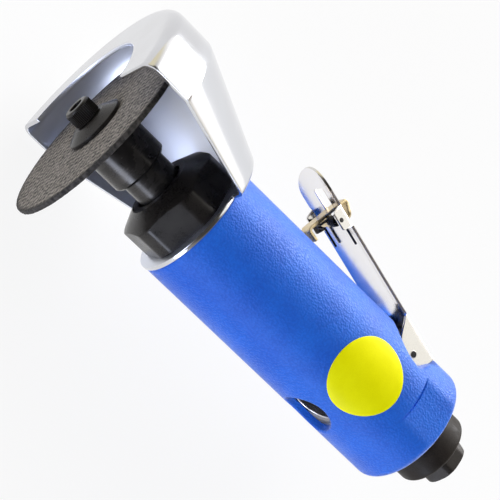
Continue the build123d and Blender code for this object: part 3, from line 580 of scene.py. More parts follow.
# Throttle valve: a blackened steel bush screwed in under the lever, and a round-ended stem that the lever
# pushes in against a wire spring. The spring stands clear of the stem's head by the stem's stroke.
valve_low, valve_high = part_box("valve_spring")
valve_wire_r = 0.35 * mm
valve_turns = 6
valve_stroke = 1.5 * mm
valve_x = (valve_low.x + valve_high.x) / 2
valve_coil_r = (valve_high.x - valve_low.x) / 2 - valve_wire_r
coil_start = valve_low.y + valve_wire_r + valve_stroke
coil_end = valve_high.y - valve_wire_r
turn_steps = 16


def wire(name, points, radius, material, body, slot, *nodes):
    """A round wire along points, as an object that stands for CAD nodes."""
    line = bpy.data.curves.new(name, "CURVE")
    line.dimensions = "3D"
    line.bevel_depth = radius
    line.bevel_resolution = 4
    line.use_fill_caps = True
    spline = line.splines.new("NURBS")
    spline.points.add(len(points) - 1)
    for knot, p in zip(spline.points, points):
        knot.co = (*p, 1)
    spline.order_u = 3
    spline.use_endpoint_u = True
    line.resolution_u = 6
    line.materials.append(material)
    settle(bpy.data.objects.new(name, line), body, slot, *nodes)


coil = []
for k in range(valve_turns * turn_steps + 1):
    a = 2 * pi * k / turn_steps
    y = coil_start + (coil_end - coil_start) * k / (valve_turns * turn_steps)
    coil.append((valve_x + valve_coil_r * cos(a), y, valve_coil_r * sin(a)))
blackened = clouded(
    (0.030, 0.028, 0.027), (0.055, 0.051, 0.047), 3 * mm, 0.25 * mm,
    rough=(0.30, 0.46), relief=(0.12, 0.02 * mm))
black_wire = finish("black_wire", {"Metallic": 0.7}, blackened)
dress("charcoal_steel", {"Metallic": 0.4}, blackened, "valve_bush", "valve_stem")
wire("valve_return_spring", coil, valve_wire_r, black_wire, "body", "spring_steel", "valve_spring")

# Throttle lever: pressed from bright plated sheet, with a round tip, two cheeks folded down at the hinge,
# two ears for the latch's pin and a slot that the latch comes through.
joint_place = {joint["name"]: Vector(joint["pos_m"]) for joint in frame["joints"] if "pos_m" in joint}
hinge = joint_place["lever_squeeze"]
latch_centre = joint_place["latch_swing"]
lever_angle = radians(14.5)
along_lever = Vector((cos(lever_angle), -sin(lever_angle), 0))
outward = Vector((-sin(lever_angle), -cos(lever_angle), 0))
latch_along = (latch_centre - hinge).dot(along_lever)
lever_half = 9.5 * mm
lever_top = 8.3 * mm
lever_curve = 25.0 * mm
lever_sheet = 0.95 * mm
lever_length = 75.7 * mm
lever_tail = 6.6 * mm
lever_fold = 0.7 * mm
tip_start = lever_length - lever_half
slot_half = 2.9 * mm
slot_back = 1.1 * mm
slot_front = 11.6 * mm
ear_half = 3.65 * mm
ear_low = 1.9 * mm
ear_round = 0.6 * mm
side_top = lever_top - lever_curve + sqrt(lever_curve ** 2 - lever_half ** 2)
side_steps = 6
cheek_foot = -3.2 * mm
cheek_end = 13.2 * mm
cheek = [(-lever_tail, 1.2 * mm), (-6.1 * mm, -1.2 * mm), (-4.6 * mm, cheek_foot), (5.5 * mm, cheek_foot),
         (8.9 * mm, 0.6 * mm), (11.6 * mm, 4.2 * mm), (cheek_end, side_top - lever_fold)]


def flange_foot(s):
    """Height of the lower edge of the lever's side at s along it, where a cheek or an ear is folded down."""
    for (s0, h0), (s1, h1) in zip(cheek, cheek[1:]):
        if s0 - same_place <= s <= s1:
            return h0 + (h1 - h0) * (s - s0) / (s1 - s0)
    from_ear = abs(s - latch_along)
    if from_ear <= ear_half + same_place:
        corner = max(0.0, from_ear - (ear_half - ear_round)) / ear_round
        return ear_low + ear_round * (1 - sqrt(max(0.0, 1 - corner * corner)))
    return side_top


def pressed(form, thickness, bevel, facing):
    """Thickens a sheet away from the side that faces a direction, and eases its edges."""
    bmesh.ops.recalc_face_normals(form, faces=form.faces)
    if sum(f.normal.dot(facing) * f.calc_area() for f in form.faces) < 0:
        bmesh.ops.reverse_faces(form, faces=form.faces)
    bmesh.ops.solidify(form, geom=form.faces[:], thickness=thickness)
    bmesh.ops.recalc_face_normals(form, faces=form.faces)
    edges = [e for e in form.edges if len(e.link_faces) == 2 and e.calc_face_angle() > radians(55)]
    bmesh.ops.bevel(form, geom=edges, offset=bevel, segments=2, profile=0.5,
                    affect="EDGES", clamp_overlap=True)


sheet = bmesh.new()


def lever_vert(s, h, z):
    return sheet.verts.new(hinge + along_lever * s + outward * h + Vector((0, 0, z)))


lever_places = stations(
    -lever_tail, 0.25 * mm, 2.5 * mm, 0.6 * mm, 14 * mm, 2.0 * mm, latch_along - 5 * mm, 0.5 * mm,
    latch_along - ear_half, 0.4 * mm, latch_along - slot_back, 0.4 * mm, latch_along + ear_half, 1.0 * mm,
    latch_along + slot_front, 0.5 * mm, lever_length - 1.5 * mm)
lever_places += [lever_length - left * mm for left in (1.5, 1.1, 0.75, 0.45, 0.2, 0.06)]
slot_share = slot_half / lever_half
shares = [1, 0.993, 0.975, 0.95, 0.915, 0.87, 0.8, 0.7, 0.6, 0.5, 0.4, slot_share, 0.2, 0.1]
shares = [-share for share in shares] + [0] + shares[::-1]
rows = []
for s in lever_places:
    half = sqrt(lever_half ** 2 - max(0.0, s - tip_start) ** 2)
    foot = flange_foot(s)
    folded = foot < side_top - lever_fold - 0.01 * mm
    row = []
    for share in shares:
        z = half * share
        h = lever_top - lever_curve + sqrt(lever_curve ** 2 - z * z)
        if folded:
            fall = max(0.0, lever_fold - (half - abs(z)))
            h -= lever_fold - sqrt(max(0.0, lever_fold ** 2 - fall ** 2))
        row.append(lever_vert(s, h, z))
    far_side = [row[0]] * side_steps
    near_side = [row[-1]] * side_steps
    if folded:
        top = side_top - lever_fold
        depths = [top + (foot - top) * k / side_steps for k in range(1, side_steps + 1)]
        far_side = [lever_vert(s, h, -half) for h in reversed(depths)]
        near_side = [lever_vert(s, h, half) for h in depths]
    rows.append(far_side + row + near_side)
slot_first = side_steps + shares.index(-slot_share)
slot_last = side_steps + shares.index(slot_share)


def off_slot(i, k):
    """Tells whether a face of the lever's sheet is outside the latch's slot."""
    middle = (lever_places[i] + lever_places[i + 1]) / 2 - latch_along
    return not (-slot_back < middle < slot_front and slot_first <= k < slot_last)


loft(sheet, rows, wrap=False, keep=off_slot)
pressed(sheet, lever_sheet, 0.12 * mm, outward)
# Side faces of the plate take the sheared-edge colour; faces towards the grip take a lighter nickel, which is
# painted light.
for f in sheet.faces:
    s = (f.calc_center_median() - hinge).dot(along_lever)
    on_side = abs(f.normal.z) > 0.6 and abs(s - latch_along) > ear_half + 0.3 * mm
    if on_side and cheek_end - 0.2 * mm < s < tip_start:
        f.material_index = 1
    elif f.normal.dot(outward) < -0.5:
        f.material_index = 2
sheared_edge = finish("sheared_edge", metal, speckled(
    (0.74, 0.65, 0.57), (0.88, 0.80, 0.72), 0.4 * mm, 3, rough=(0.4, 0.55), relief=(0.3, 0.03 * mm)))
# A lighter copy of the plated nickel for the lever's underside: painted light.
nickel_painted_lighter = finish("nickel_painted_lighter", metal, speckled(
    (0.84, 0.83, 0.84), (0.90, 0.88, 0.86), 6 * mm, 3, rough=(0.14, 0.20)))
lever = piece("lever_plate", sheet, bright_nickel, "lever", "bright_nickel", "throttle_lever", sharp=40)
lever.data.materials.append(sheared_edge)
lever.data.materials.append(nickel_painted_lighter)

# Lever pin: a roll pin of spring steel, driven through the cheeks and the housing's lug. A black plug
# fills its hollow almost flush: painted shade that makes the hole read dark.
pin_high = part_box("lever_pin")[1]
pin_r = 1.5 * mm
pin_bore_r = pin_r - 0.25 * mm
pin_end = pin_high.z + 0.10 * mm
shade_plug_end = pin_end - 0.06 * mm
bore_ease = 0.1 * mm


def set_across(form, centre):
    """Stands a form made along X across the tool, at a centre."""
    form.transform(Matrix.Translation(centre) @ Matrix.Rotation(-pi / 2, 4, "Y"))
    return form


def tube(end, bore_r, r, ease, spokes, shape=None):
    wall = rounded((-end, bore_r, bore_ease), (-end, r, ease),
                   (end, r, ease), (end, bore_r, bore_ease), loop=True)
    return turned(wall, spokes, shape, loop=True)


def rod(end, r, ease, spokes):
    return turned(rounded((-end, 0, 0), (-end, r, ease), (end, r, ease), (end, 0, 0)), spokes)


pin_steel = finish("pin_steel", metal, speckled(
    (0.48, 0.47, 0.46), (0.66, 0.65, 0.63), 0.6 * mm, rough=(0.25, 0.4)))
roll_pin = set_across(tube(pin_end, pin_bore_r, pin_r, 0.3 * mm, 32), hinge)
# A black rod in the pin's hollow, almost flush with its ends: painted shade for the hole.
pin_hollow_shade = set_across(rod(shade_plug_end, pin_bore_r, 0.1 * mm, 24), hinge)
piece("roll_pin", roll_pin, pin_steel, "body", "pin_steel", "lever_pin")
piece("roll_pin_painted_shade", pin_hollow_shade, seal_rubber, "body", "spring_steel")

# Safety latch: a strip of pale brassy sheet bent back at both ends, with a finger tab above the lever and
# a foot over the grip that keeps the lever up. A hub behind the strip turns on the latch pin.
latch_half = 2.7 * mm
latch_hub_half = 2.4 * mm
latch_sheet = 1.2 * mm
latch_top = 11.2 * mm
latch_tab = 7.4 * mm
latch_tab_drop = 3.0 * mm
latch_tab_round = 2.6 * mm
latch_foot = 9.8 * mm
latch_toe = 5.6 * mm
latch_toe_rise = 0.4 * mm
latch_bend = 1.9 * mm
latch_top_bend = 1.4 * mm
latch_pin_r = 0.9 * mm
latch_pin_end = lever_half + 0.12 * mm
latch_barrel_r = 1.6 * mm
latch_wire_r = 0.42 * mm
latch_coil_r = 1.65 * mm
latch_face = latch_coil_r + latch_wire_r + 0.15 * mm + latch_sheet
latch_forward = 3 * pi / 2 - lever_angle


def on_latch(u, v, z):
    return latch_centre + along_lever * u + outward * v + Vector((0, 0, z))


def divided(outline, step):
    """Points along an outline, about step apart."""
    points = []
    for p, q in zip(outline, outline[1:]):
        gap = (q - p).length
        points += [p.lerp(q, t / gap) for t in spread(0.0, gap, step)]
    return points + outline[-1:]


strip = rounded(
    (latch_face - latch_tab, latch_top - latch_tab_drop, 0), (latch_face, latch_top, latch_top_bend),
    (latch_face, -latch_foot, latch_bend), (latch_face - latch_toe, latch_toe_rise - latch_foot, 0), steps=10)
fine_strip = divided(strip, 0.45 * mm)
latch_form = bmesh.new()
rows = []
gone = 0.0
for p, q in zip(fine_strip, fine_strip[1:] + fine_strip[-1:]):
    short = min(max(0.0, latch_tab_round - gone), latch_tab_round * 0.98)
    half = latch_half - latch_tab_round + sqrt(latch_tab_round ** 2 - short ** 2)
    rows.append([latch_form.verts.new(on_latch(p.x, p.y, half * k / 6)) for k in range(-6, 7)])
    gone += (q - p).length
loft(latch_form, rows, wrap=False)
pressed(latch_form, latch_sheet, 0.15 * mm, along_lever)


def hub_shape(x, r, angle):
    """The rolled barrel, with a web in front of it that reaches the strip."""
    turn = (angle - latch_forward + pi) % (2 * pi) - pi
    if r < latch_barrel_r - 0.3 * mm or abs(turn) > 1.2:
        return r
    web = min((latch_face - latch_sheet / 2) / cos(turn), latch_pin_r / max(abs(sin(turn)), 0.01))
    return max(r, web)


pale_brass = finish("pale_brass", metal, clouded(
    (0.62, 0.48, 0.26), (0.74, 0.63, 0.42), 2.5 * mm, 0.3 * mm, rough=(0.22, 0.36), relief=(0.08, 0.01 * mm)))
barrel = tube(latch_hub_half, latch_pin_r + 0.05 * mm, latch_barrel_r, 0.2 * mm, 96, hub_shape)
set_across(barrel, latch_centre)
pivot = set_across(rod(latch_pin_end, latch_pin_r, 0.25 * mm, 32), latch_centre)
piece("latch_strip", latch_form, pale_brass, "latch", "pale_brass", "safety_latch", sharp=40)
piece("latch_barrel", barrel, pale_brass, "latch", "pale_brass")
piece("latch_pivot", pivot, black_wire, "lever", "pin_steel", "latch_pin")

# Latch spring: one black wire wound in two coils on the pin, with a bail behind the strip's foot and
# a straight leg from each coil along the underside of the lever.
latch_coil_pitch = 0.98 * mm
latch_coil_turns = 3.25
wound_r = latch_coil_r * 1.02
leg_z = 6.6 * mm
leg_length = 11.0 * mm
bail_reach = 4.4 * mm
bail_round = 1.2 * mm
coil_end_z = leg_z - latch_coil_pitch * latch_coil_turns
half_path = [(-leg_length * share, latch_coil_r, leg_z) for share in (1, 0.75, 0.5, 0.2)]
for k in range(int(latch_coil_turns * turn_steps) + 1):
    a = pi / 2 - 2 * pi * k / turn_steps
    half_path.append((wound_r * cos(a), wound_r * sin(a), leg_z - latch_coil_pitch * k / turn_steps))
for v in (-0.5 * bail_reach, bail_round - bail_reach, -bail_reach):
    half_path.append((latch_coil_r, v, coil_end_z))
half_path.append((latch_coil_r, -bail_reach, coil_end_z - bail_round))
path = half_path + [(u, v, -z) for u, v, z in reversed(half_path)]
points = [on_latch(*p) for p in path]
wire("latch_torsion_spring", points, latch_wire_r, black_wire, "lever", "spring_steel", "latch_spring")

# Air inlet: a steel bushing with a hexagon, its corners turned round, screwed into the housing through the
# exhaust deflector. A tapped hole takes the hose fitting and a punched brass strainer lies at its bottom.
inlet_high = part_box("inlet_bushing")[1]
inlet_turned_r = 9.3 * mm
inlet_hex_length = 7.2 * mm
inlet_shank_r = 7.9 * mm
thread_r = 5.7 * mm
thread_length = 14.0 * mm
thread_pitch = 1.41 * mm
thread_depth = 0.75 * mm
thread_flank = 0.42
mouth_chamfer = 0.8 * mm
screen_r = 5.2 * mm
x_screen_end = thread_length + 1.2 * mm
air_way_r = 3.5 * mm


def hexagon(af, turn):
    """Radius of a hexagon of that size across its flats, one corner at turn."""
    return lambda angle: af / 2 / cos((angle - turn) % (pi / 3) - pi / 6)


inlet_hex = hexagon(17.0 * mm, 0.0)


def inlet_shape(x, r, angle):
    """Hexagon outside at the rear, and a thread cut into the bore."""
    if r > inlet_shank_r + 0.05 * mm:
        return soft_least(r, inlet_hex(angle), 0.25 * mm)
    if abs(r - thread_r) < 0.01 * mm and mouth_chamfer + 0.1 * mm < x < thread_length - 0.4 * mm:
        turn = (x / thread_pitch - angle / (2 * pi)) % 1.0
        return r + thread_depth * max(0.0, 1 - abs(turn - 0.5) / thread_flank)
    return r


inlet_outline = rounded(
    (0.0, thread_r + mouth_chamfer, 0), (0.0, inlet_turned_r, 0.9 * mm),
    (inlet_hex_length, inlet_turned_r, 0.5 * mm), (inlet_hex_length, inlet_shank_r, 0),
    (inlet_high.x, inlet_shank_r, 0.4 * mm), (inlet_high.x, air_way_r, 0))
inlet_outline += [(x_screen_end, air_way_r), (x_screen_end, screen_r), (thread_length, screen_r)]
inlet_outline += [(x, thread_r) for x in spread(thread_length, mouth_chamfer, 0.18 * mm)]
inlet_outline.append((mouth_chamfer, thread_r))


def charcoal(place):
    speck = place.grain(0.35 * mm, 3)
    cloud = place.grain(4 * mm, 2)
    shade = (speck * 0.6 + cloud * 0.4).stretch()
    return {
        "Base Color": shade.tint((0.011, 0.008, 0.006), (0.027, 0.021, 0.016)),
        "Roughness": cloud.stretch(0.42, 0.6),
        "Normal": speck.bump(0.25, 0.04 * mm),
    }


charcoal_inlet = finish("charcoal_inlet", {"Metallic": 0.3}, charcoal)
dress("screen_brass", metal, speckled(
    (0.52, 0.38, 0.17), (0.72, 0.56, 0.30), 1.5 * mm, rough=(0.25, 0.45)), "inlet_screen")
inlet = turned(inlet_outline, 144, inlet_shape, loop=True)
piece("inlet_hexagon", inlet, charcoal_inlet, "body", "charcoal_steel", "inlet_bushing", sharp=30)

# Exhaust deflector: a moulded charcoal cup that turns on the inlet's shank, with vents in its rear wall and
# a felt ring in it that quiets the exhaust.
dress("charcoal_plastic", {"Specular IOR Level": 0.15}, charcoal, "exhaust_deflector")
dress("grey_felt", {"Roughness": 0.95}, speckled(
    (0.30, 0.30, 0.28), (0.56, 0.55, 0.52), 0.4 * mm, 5, relief=(0.6, 0.10 * mm)), "muffler_felt")

# Guard: a half-cup pressed from steel sheet and chromed, with a flat base ring under the clamp nut, a conical
# wall, a rim round the wheel and a front lip with a round mouth. It can be turned about the spindle.
guard_low, guard_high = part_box("guard")
x_lip = guard_high.x
guard_sheet = 1.5 * mm
guard_hole_r = 17.5 * mm
guard_plate_r = 23.2 * mm
guard_base_r = 28.6 * mm
guard_rim_r = 45.29 * mm
guard_cone_length = 38.8 * mm
guard_base_bend = 3.0 * mm
guard_rim_bend = 5.0 * mm
guard_lip_bend = 4.5 * mm
guard_lip_r = guard_rim_r - guard_lip_bend - 1 * mm
guard_mouth_r = 29.9 * mm
guard_mouth = Vector((2.0, -2.5)) * mm
guard_edge_drop = 3.5 * mm
guard_back = radians(187.0)
guard_columns = 120
guard_open_columns = 96
lip_rows = 8

cup = bmesh.new()


def mouth_radius(angle):
    """Distance from the spindle's axis to the edge of the lip's mouth."""
    ahead = Vector((cos(angle), sin(angle))).dot(guard_mouth)
    return ahead + sqrt(guard_mouth_r ** 2 - guard_mouth.length_squared + ahead * ahead)


def guard_row(x, radius):
    """A row of the cup across its half-turn; radius(angle) is its distance from the axis."""
    ends = []
    for side in (-1, 1):
        swing = pi / 2
        for k in range(6):
            swing = acos(guard_edge_drop / radius(guard_back + side * swing))
        ends.append(swing)
    row = []
    for k in range(guard_columns + 1):
        share = 2 * k / guard_columns - 1
        angle = guard_back + share * ends[share > 0]
        row.append(vert(cup, x, radius(angle), angle))
    return row


half_turn = acos(guard_edge_drop / guard_plate_r)
open_turn = 2 * pi - 2 * half_turn
angles = [guard_back + half_turn * (2 * k / guard_columns - 1) for k in range(guard_columns + 1)]
angles += [guard_back + half_turn + open_turn * k / guard_open_columns for k in range(1, guard_open_columns)]
base_rs = (guard_hole_r, (guard_hole_r + guard_plate_r) / 2, guard_plate_r)
base_rings = [[vert(cup, guard_low.x, r, a) for a in angles] for r in base_rs]
loft(cup, base_rings)
guard_outline = rounded(
    (guard_low.x, guard_plate_r, 0), (guard_low.x, guard_base_r, guard_base_bend),
    (guard_low.x + guard_cone_length, guard_rim_r, guard_rim_bend),
    (x_lip, guard_rim_r, guard_lip_bend), (x_lip, guard_lip_r, 0), steps=10)
rows = [base_rings[-1][:guard_columns + 1]]
rows += [guard_row(p.x, lambda angle: p.y) for p in divided(guard_outline, 2.5 * mm)[1:-1]]
lip_r = guard_outline[-1].y
for k in range(lip_rows + 1):
    rows.append(guard_row(x_lip, lambda angle: lip_r + (mouth_radius(angle) - lip_r) * k / lip_rows))
loft(cup, rows, wrap=False)
pressed(cup, guard_sheet, 0.3 * mm, Vector((-1, 0, 0)))


def mirror_plate(place):
    haze = place.grain(14 * mm, 2)
    fine = place.grain(0.6 * mm, 2)
    # The rim and lip get a darker reflectance than the cone: painted shade in the chrome.
    rim_painted_darker = place.axis(0).ease(x_lip - 16 * mm, x_lip - 10 * mm)
    return {
        "Base Color": (rim_painted_darker * 0.7 + haze.stretch() * 0.3).tint((0.71, 0.72, 0.75), (0.64, 0.64, 0.66)),
        "Roughness": (haze + fine * 0.4).ease(0.4, 1.0, 0.12, 0.16),
        "Normal": (fine + haze * 0.6).bump(0.04, 0.05 * mm),
    }


# Satin chrome for the inside of the cup; its blue-lilac cast is a painted reflection.
def satin_painted_blue_plate(place):
    haze = place.grain(12 * mm, 2)
    fine = place.grain(0.4 * mm, 2)
    return {
        "Base Color": haze.stretch().tint((0.77, 0.80, 0.90), (0.82, 0.84, 0.90)),
        "Roughness": (haze + fine * 0.4).ease(0.4, 1.0, 0.36, 0.44),
        "Normal": haze.bump(0.04, 0.05 * mm),
    }


# Faces inside the cup, on the base under the nut and under the lip take the satin chrome and its painted blue
# reflection.
for f in cup.faces:
    centre = f.calc_center_median()
    inward = f.normal.y * centre.y + f.normal.z * centre.z < -0.3 * hypot(centre.y, centre.z)
    on_base = f.normal.x > 0.5 and centre.x < guard_low.x + 4 * mm
    under_lip = f.normal.x < -0.5 and centre.x > x_lip - 4 * mm
    f.material_index = int(inward or on_base or under_lip)
bright_chrome = finish("bright_chrome", metal, mirror_plate)
satin_chrome_painted_blue = finish("satin_chrome_painted_blue", metal, satin_painted_blue_plate)
guard = piece("guard_cup", cup, bright_chrome, "guard", "bright_chrome", "guard", sharp=40)
guard.data.materials.append(satin_chrome_painted_blue)

# Clamp nut: turned from hexagon bar with its corners rounded off and a conical nose, then blackened. It
# screws into the front of the housing and holds the guard and the motor.
nut_low, nut_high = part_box("clamp_nut")
nut_turned_r = 20.0 * mm
nut_hex_length = 11.0 * mm
nut_cone_length = 4.0 * mm
nut_nose_r = 12.2 * mm
nut_bore_r = 9.4 * mm
nut_spigot_r = 17.1 * mm
x_nut_nose = nut_high.x
x_nut_cone = x_nut_nose - nut_cone_length
x_nut = x_nut_cone - nut_hex_length
nut_hex = hexagon(37.0 * mm, radians(20.0))


def nut_shape(x, r, angle):
    """The turned outline, cut down to the hexagon."""
    if x > x_nut - 0.01 * mm and r > nut_bore_r + 1 * mm:
        return soft_least(r, nut_hex(angle), 0.35 * mm)
    return r


nut_outline = rounded(
    (nut_low.x, nut_bore_r, 0), (nut_low.x, nut_spigot_r, 0.5 * mm), (x_nut, nut_spigot_r, 0),
    (x_nut, nut_turned_r, 0.5 * mm), (x_nut_cone, nut_turned_r, 0.6 * mm),
    (x_nut_nose, nut_nose_r, 0.5 * mm), (x_nut_nose, nut_bore_r, 0.6 * mm), (x_nut, nut_bore_r, 0))
nut = turned(divided(nut_outline, 0.4 * mm), 288, nut_shape, loop=True)


def oiled_black(place):
    bloom = place.grain(7 * mm, 3)
    fine = place.grain(0.3 * mm, 3)
    shade = (bloom * 0.7 + fine * 0.3).stretch()
    return {
        "Base Color": shade.tint((0.014, 0.012, 0.011), (0.030, 0.026, 0.022)),
        "Roughness": (bloom + fine).ease(0.7, 1.3, 0.24, 0.38),
        "Normal": fine.bump(0.1, 0.02 * mm),
    }


black_oxide = finish("black_oxide", {"Metallic": 0.25, "Specular IOR Level": 0.35}, oiled_black)
piece("clamp_nut_hexagon", nut, black_oxide, "body", "black_oxide", "clamp_nut", sharp=25)

# Spindle and inner flange: turned steel, blackened and oiled. The spindle screws on the rotor; the flange
# slides on its nose and carries the wheel.
spindle_low, spindle_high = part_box("spindle")
flange_low, flange_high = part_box("inner_flange")
spindle_r = 8.5 * mm
nose_r = 6.0 * mm
x_shoulder = flange_low.x - 0.02 * mm
flange_r = (flange_high.y - flange_low.y) / 2
flange_chamfer = 0.9 * mm
spindle_outline = rounded(
    (spindle_low.x, 0, 0), (spindle_low.x, nose_r, 0.3 * mm), (spindle_low.x + 2 * mm, spindle_r, 0),
    (x_shoulder, spindle_r, 0.5 * mm), (x_shoulder, nose_r, 0),
    (spindle_high.x, nose_r - 1.3 * mm, 0), (spindle_high.x, 0, 0))
flange_outline = rounded(
    (flange_low.x, nose_r, 0.2 * mm), (flange_low.x, flange_r - flange_chamfer, 0.4 * mm),
    (flange_low.x + flange_chamfer, flange_r, 0.5 * mm), (flange_high.x, flange_r, 0.4 * mm),
    (flange_high.x, nose_r, 0.2 * mm), loop=True)


def turned_black(place):
    tool_marks = place.lines(0, 0.25 * mm)
    bloom = place.grain(6 * mm, 3)
    return {
        "Base Color": bloom.stretch().tint((0.030, 0.028, 0.027), (0.056, 0.051, 0.046)),
        "Roughness": (bloom + tool_marks * 0.2).ease(0.4, 0.8, 0.20, 0.32),
        "Normal": tool_marks.bump(0.04, 0.004 * mm),
    }


turned_oxide = finish("turned_oxide", {"Metallic": 0.6}, turned_black)
piece("spindle_shaft", turned(spindle_outline, 128), turned_oxide, "spin", "black_oxide", "spindle")
collar = turned(flange_outline, 128, loop=True)
piece("flange_collar", collar, turned_oxide, "spin", "black_oxide", "inner_flange")

# Cutting wheel: abrasive grit in resin, pressed with a woven fibre mesh on both faces. Its edge is raw grit
# and has lost its mesh.
wheel_low, wheel_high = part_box("cutting_wheel")
wheel_r = (wheel_high.y - wheel_low.y) / 2
arbor_r = 4.76 * mm
ring_step = 2.0 * mm
rim_depth = 1.0 * mm
raw_depth = 1.2 * mm
mesh_wave = 2 * pi / (2.5 * mm)
mesh_turn = (0.96 * mesh_wave, 0.28 * mesh_wave)


def raw_edge(x, r, angle):
    """Grit broken out along the rim."""
    if r < wheel_r - raw_depth:
        return r
    where = Vector((x / mm * 1.2, wheel_r / mm * 0.8 * cos(angle), wheel_r / mm * 0.8 * sin(angle)))
    return r - 0.4 * mm * abs(noise.noise(where)) - 0.25 * mm * abs(noise.noise(where * 2.3))


wheel_outline = [(wheel_low.x, r) for r in spread(arbor_r, wheel_r - 0.35 * mm, ring_step)]
wheel_outline += rounded(
    (wheel_low.x, wheel_r - rim_depth, 0), (wheel_low.x, wheel_r, 0.3 * mm),
    (wheel_high.x, wheel_r, 0.3 * mm), (wheel_high.x, wheel_r - rim_depth, 0), steps=3)
wheel_outline += [(wheel_high.x, r) for r in spread(wheel_r - raw_depth, arbor_r, ring_step)]
wheel_outline.append((wheel_high.x, arbor_r))


def woven(place):
    blotch = place.grain(5 * mm, 3)
    grit = place.grain(0.45 * mm, 4)
    speck = place.grain(1.0 * mm, 2)
    y = place.axis(1)
    z = place.axis(2)
    waver = place.grain(2.2 * mm, 2) * 5.0
    warp = y * mesh_turn[0] + z * mesh_turn[1] + waver
    weft = z * mesh_turn[0] - y * mesh_turn[1] - waver
    mesh = warp.math("SINE", warp) + weft.math("SINE", weft)
    knots = mesh * 0.11 + speck * 1.3 + grit * 0.6 + blotch * 0.1
    square = y * y + z * z
    worn = square.math("SQRT", square).ease(wheel_r - 2.2 * mm, wheel_r - 0.4 * mm, 1.0, 0.0)
    shade = knots.ease(0.55, 1.45) * (worn * 0.85 + 0.15)
    return {
        "Base Color": shade.tint((0.014, 0.012, 0.011), (0.40, 0.36, 0.315)),
        "Roughness": grit.stretch(0.6, 0.85),
        "Normal": knots.bump(0.8, 0.25 * mm),
    }


abrasive = finish("abrasive", {"Specular IOR Level": 0.3}, woven)
wheel = turned(wheel_outline, 480, raw_edge, loop=True)
piece("abrasive_wheel", wheel, abrasive, "spin", "abrasive", "cutting_wheel", sharp=60)

# Outer flange and cap screw: a conical washer and a socket-head screw, blackened steel. The screw's head is
# knurled; it clamps the wheel between the two flanges.
washer_low, washer_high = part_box("outer_flange")
screw_low, screw_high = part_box("cap_screw")
washer_r = (washer_high.y - washer_low.y) / 2
washer_nose_r = 6.4 * mm
washer_rim = 1.3 * mm
screw_r = 3.0 * mm
head_r = (screw_high.y - screw_low.y) / 2
head_low = washer_high.x
head_seat = head_low + 0.05 * mm
knurl_low = head_low + 0.5 * mm
knurl_high = screw_high.x - 0.9 * mm
knurl_count = 48
knurl_depth = 0.28 * mm
knurl_foot_r = head_r - knurl_depth
socket_r = 2.5 * mm
socket_hex = hexagon(2 * socket_r, 0.0)
x_socket = screw_high.x - 3.2 * mm
washer_outline = rounded(
    (washer_low.x, screw_r, 0), (washer_low.x, washer_r, 0.3 * mm),
    (washer_low.x + washer_rim, washer_r, 0.3 * mm), (washer_high.x, washer_nose_r, 0.5 * mm),
    (washer_high.x, screw_r, 0), loop=True)


def screw_shape(x, r, angle):
    """Knurl on the side of the head, and the hexagon of its socket."""
    if r > head_r - 0.02 * mm:
        return r - knurl_depth * abs(sin(angle * knurl_count / 2))
    if x > head_low + 1 * mm and r <= socket_r + 0.02 * mm:
        return r * socket_hex(angle) / socket_r
    return r


screw_outline = rounded((screw_low.x, 0, 0), (screw_low.x, screw_r, 0.5 * mm), (head_seat, screw_r, 0))
screw_outline += [(head_seat, head_r - 0.4 * mm), (knurl_low - 0.1 * mm, head_r - 0.1 * mm)]
screw_outline += [(x, head_r) for x in spread(knurl_low, knurl_high, 0.5 * mm)] + [(knurl_high, head_r)]
screw_outline += rounded(
    (knurl_high + 0.05 * mm, knurl_foot_r, 0), (screw_high.x, knurl_foot_r, 0.7 * mm),
    (screw_high.x, socket_r + 0.35 * mm, 0))
screw_outline += [(screw_high.x - 0.25 * mm, socket_r), (x_socket, socket_r), (x_socket - 0.8 * mm, 0)]
washer = turned(washer_outline, 128, loop=True)
screw = turned(screw_outline, 288, screw_shape)
piece("clamp_washer", washer, black_oxide, "spin", "black_oxide", "outer_flange")
piece("socket_screw", screw, black_oxide, "spin", "black_oxide", "cap_screw", sharp=30)

# Studio: a plain white floor under the tool and a soft white surround, bright above the lever's side, cooler
# low on the other side and darker overhead. The floor glows for the eye but still takes the tool's shadow.
floor_half = 3.0
floor_z = cad_box[0][2]
floor_glow = 0.88


def light_paths(tree):
    """1 for what the camera sees straight, mirrored or through glass, 0 for light that falls on things."""
    path = tree.nodes.new("ShaderNodeLightPath")
    seen = Socket(path.outputs["Is Camera Ray"])
    for name in ("Is Glossy Ray", "Is Transmission Ray"):
        seen = seen.math("MAXIMUM", seen, Socket(path.outputs[name]))
    return seen


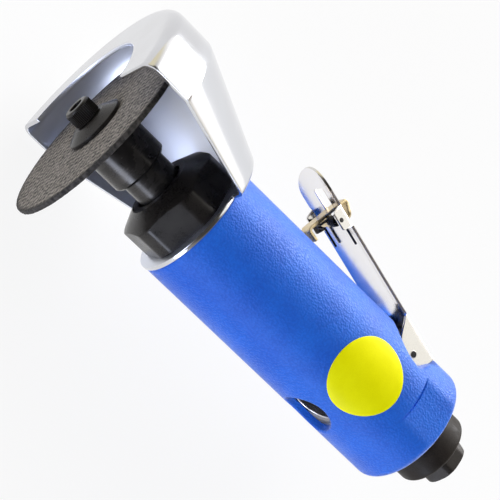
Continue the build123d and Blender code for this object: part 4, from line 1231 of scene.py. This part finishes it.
white_paint = {"Base Color": (0.9, 0.9, 0.9, 1), "Roughness": 0.9, "Specular IOR Level": 0.0}
floor_paint = finish("floor_paint", white_paint)
floor_tree = floor_paint.node_tree
painted = Socket(floor_tree.nodes["Principled BSDF"].outputs[0])
glow = painted.node("Emission", {}, {"Strength": 1.0})
seen_floor = painted.node("MixShader", {}, {0: light_paths(floor_tree) * floor_glow, 1: painted, 2: glow})
floor_tree.links.new(seen_floor.output, floor_tree.nodes["Material Output"].inputs["Surface"])
floor_mesh = bpy.data.meshes.new("floor")
corners = [(x * floor_half, y * floor_half, floor_z) for x, y in ((-1, -1), (1, -1), (1, 1), (-1, 1))]
floor_mesh.from_pydata(corners, [], [(0, 1, 2, 3)])
floor_mesh.materials.append(floor_paint)
floor = bpy.data.objects.new("floor", floor_mesh)
scene = bpy.context.scene
scene.collection.objects.link(floor)

surround = bpy.data.worlds.new("surround")
surround.use_nodes = True
scene.world = surround
sky_tree = surround.node_tree
direction = Socket(sky_tree.nodes.new("ShaderNodeTexCoord").outputs["Generated"])
rise = direction.axis(2)
sky = rise.ease(0.10, 0.26).tint((1, 1, 1), (0.26, 0.25, 0.24))
sky = rise.ease(0.50, 0.80).tint(sky, (0.06, 0.055, 0.05))
# Each light: where it is, the cosines where it fades out and is full, if it fades slowly, and its colour.
lights = (
    ((-0.75, -0.62, 0.10), 0.75, 0.98, False, (1.15, 1.08, 0.92)),
    ((0.75, -0.61, 0.23), 0.85, 0.99, False, (1.0, 0.92, 0.66)),
    ((-0.25, -0.93, 0.27), 0.60, 0.95, False, (1.6, 1.58, 1.55)),
    ((-0.30, -0.76, 0.575), 0.90, 0.985, True, (3.6, 3.6, 3.7)),
    ((-0.28, -0.92, 0.27), 0.86, 0.985, True, (13.0, 13.0, 13.2)),
    ((-0.35, -0.43, 0.83), 0.955, 0.985, False, (1.30, 1.28, 1.22)),
    ((-0.62, -0.66, 0.42), 0.970, 0.992, False, (0.36, 0.30, 0.24)),
    ((-0.33, 0.93, 0.12), 0.955, 0.99, False, (7.2, 7.9, 9.6)),
    ((0.40, 0.90, 0.16), 0.90, 0.985, False, (3.6, 4.0, 5.2)))
for towards, wide, narrow, slow, colour in lights:
    dot = {0: direction, 1: Vector(towards).normalized()}
    share = direction.node("VectorMath", {"operation": "DOT_PRODUCT"}, dot, 1).ease(wide, narrow)
    sky = (share * share if slow else share).tint(sky, colour)
sky_tree.links.new(sky.output, sky_tree.nodes["Background"].inputs["Color"])

lens = bpy.data.cameras.new("camera")
lens.lens = 108.795
lens.sensor_width = 36.0
camera = bpy.data.objects.new("camera", lens)
camera.location = (0.28169, 0.18261, 0.45198)
camera.rotation_euler = (0.07406, -0.50858, -2.45699)
scene.collection.objects.link(camera)
scene.camera = camera
scene.view_settings.view_transform = "Standard"
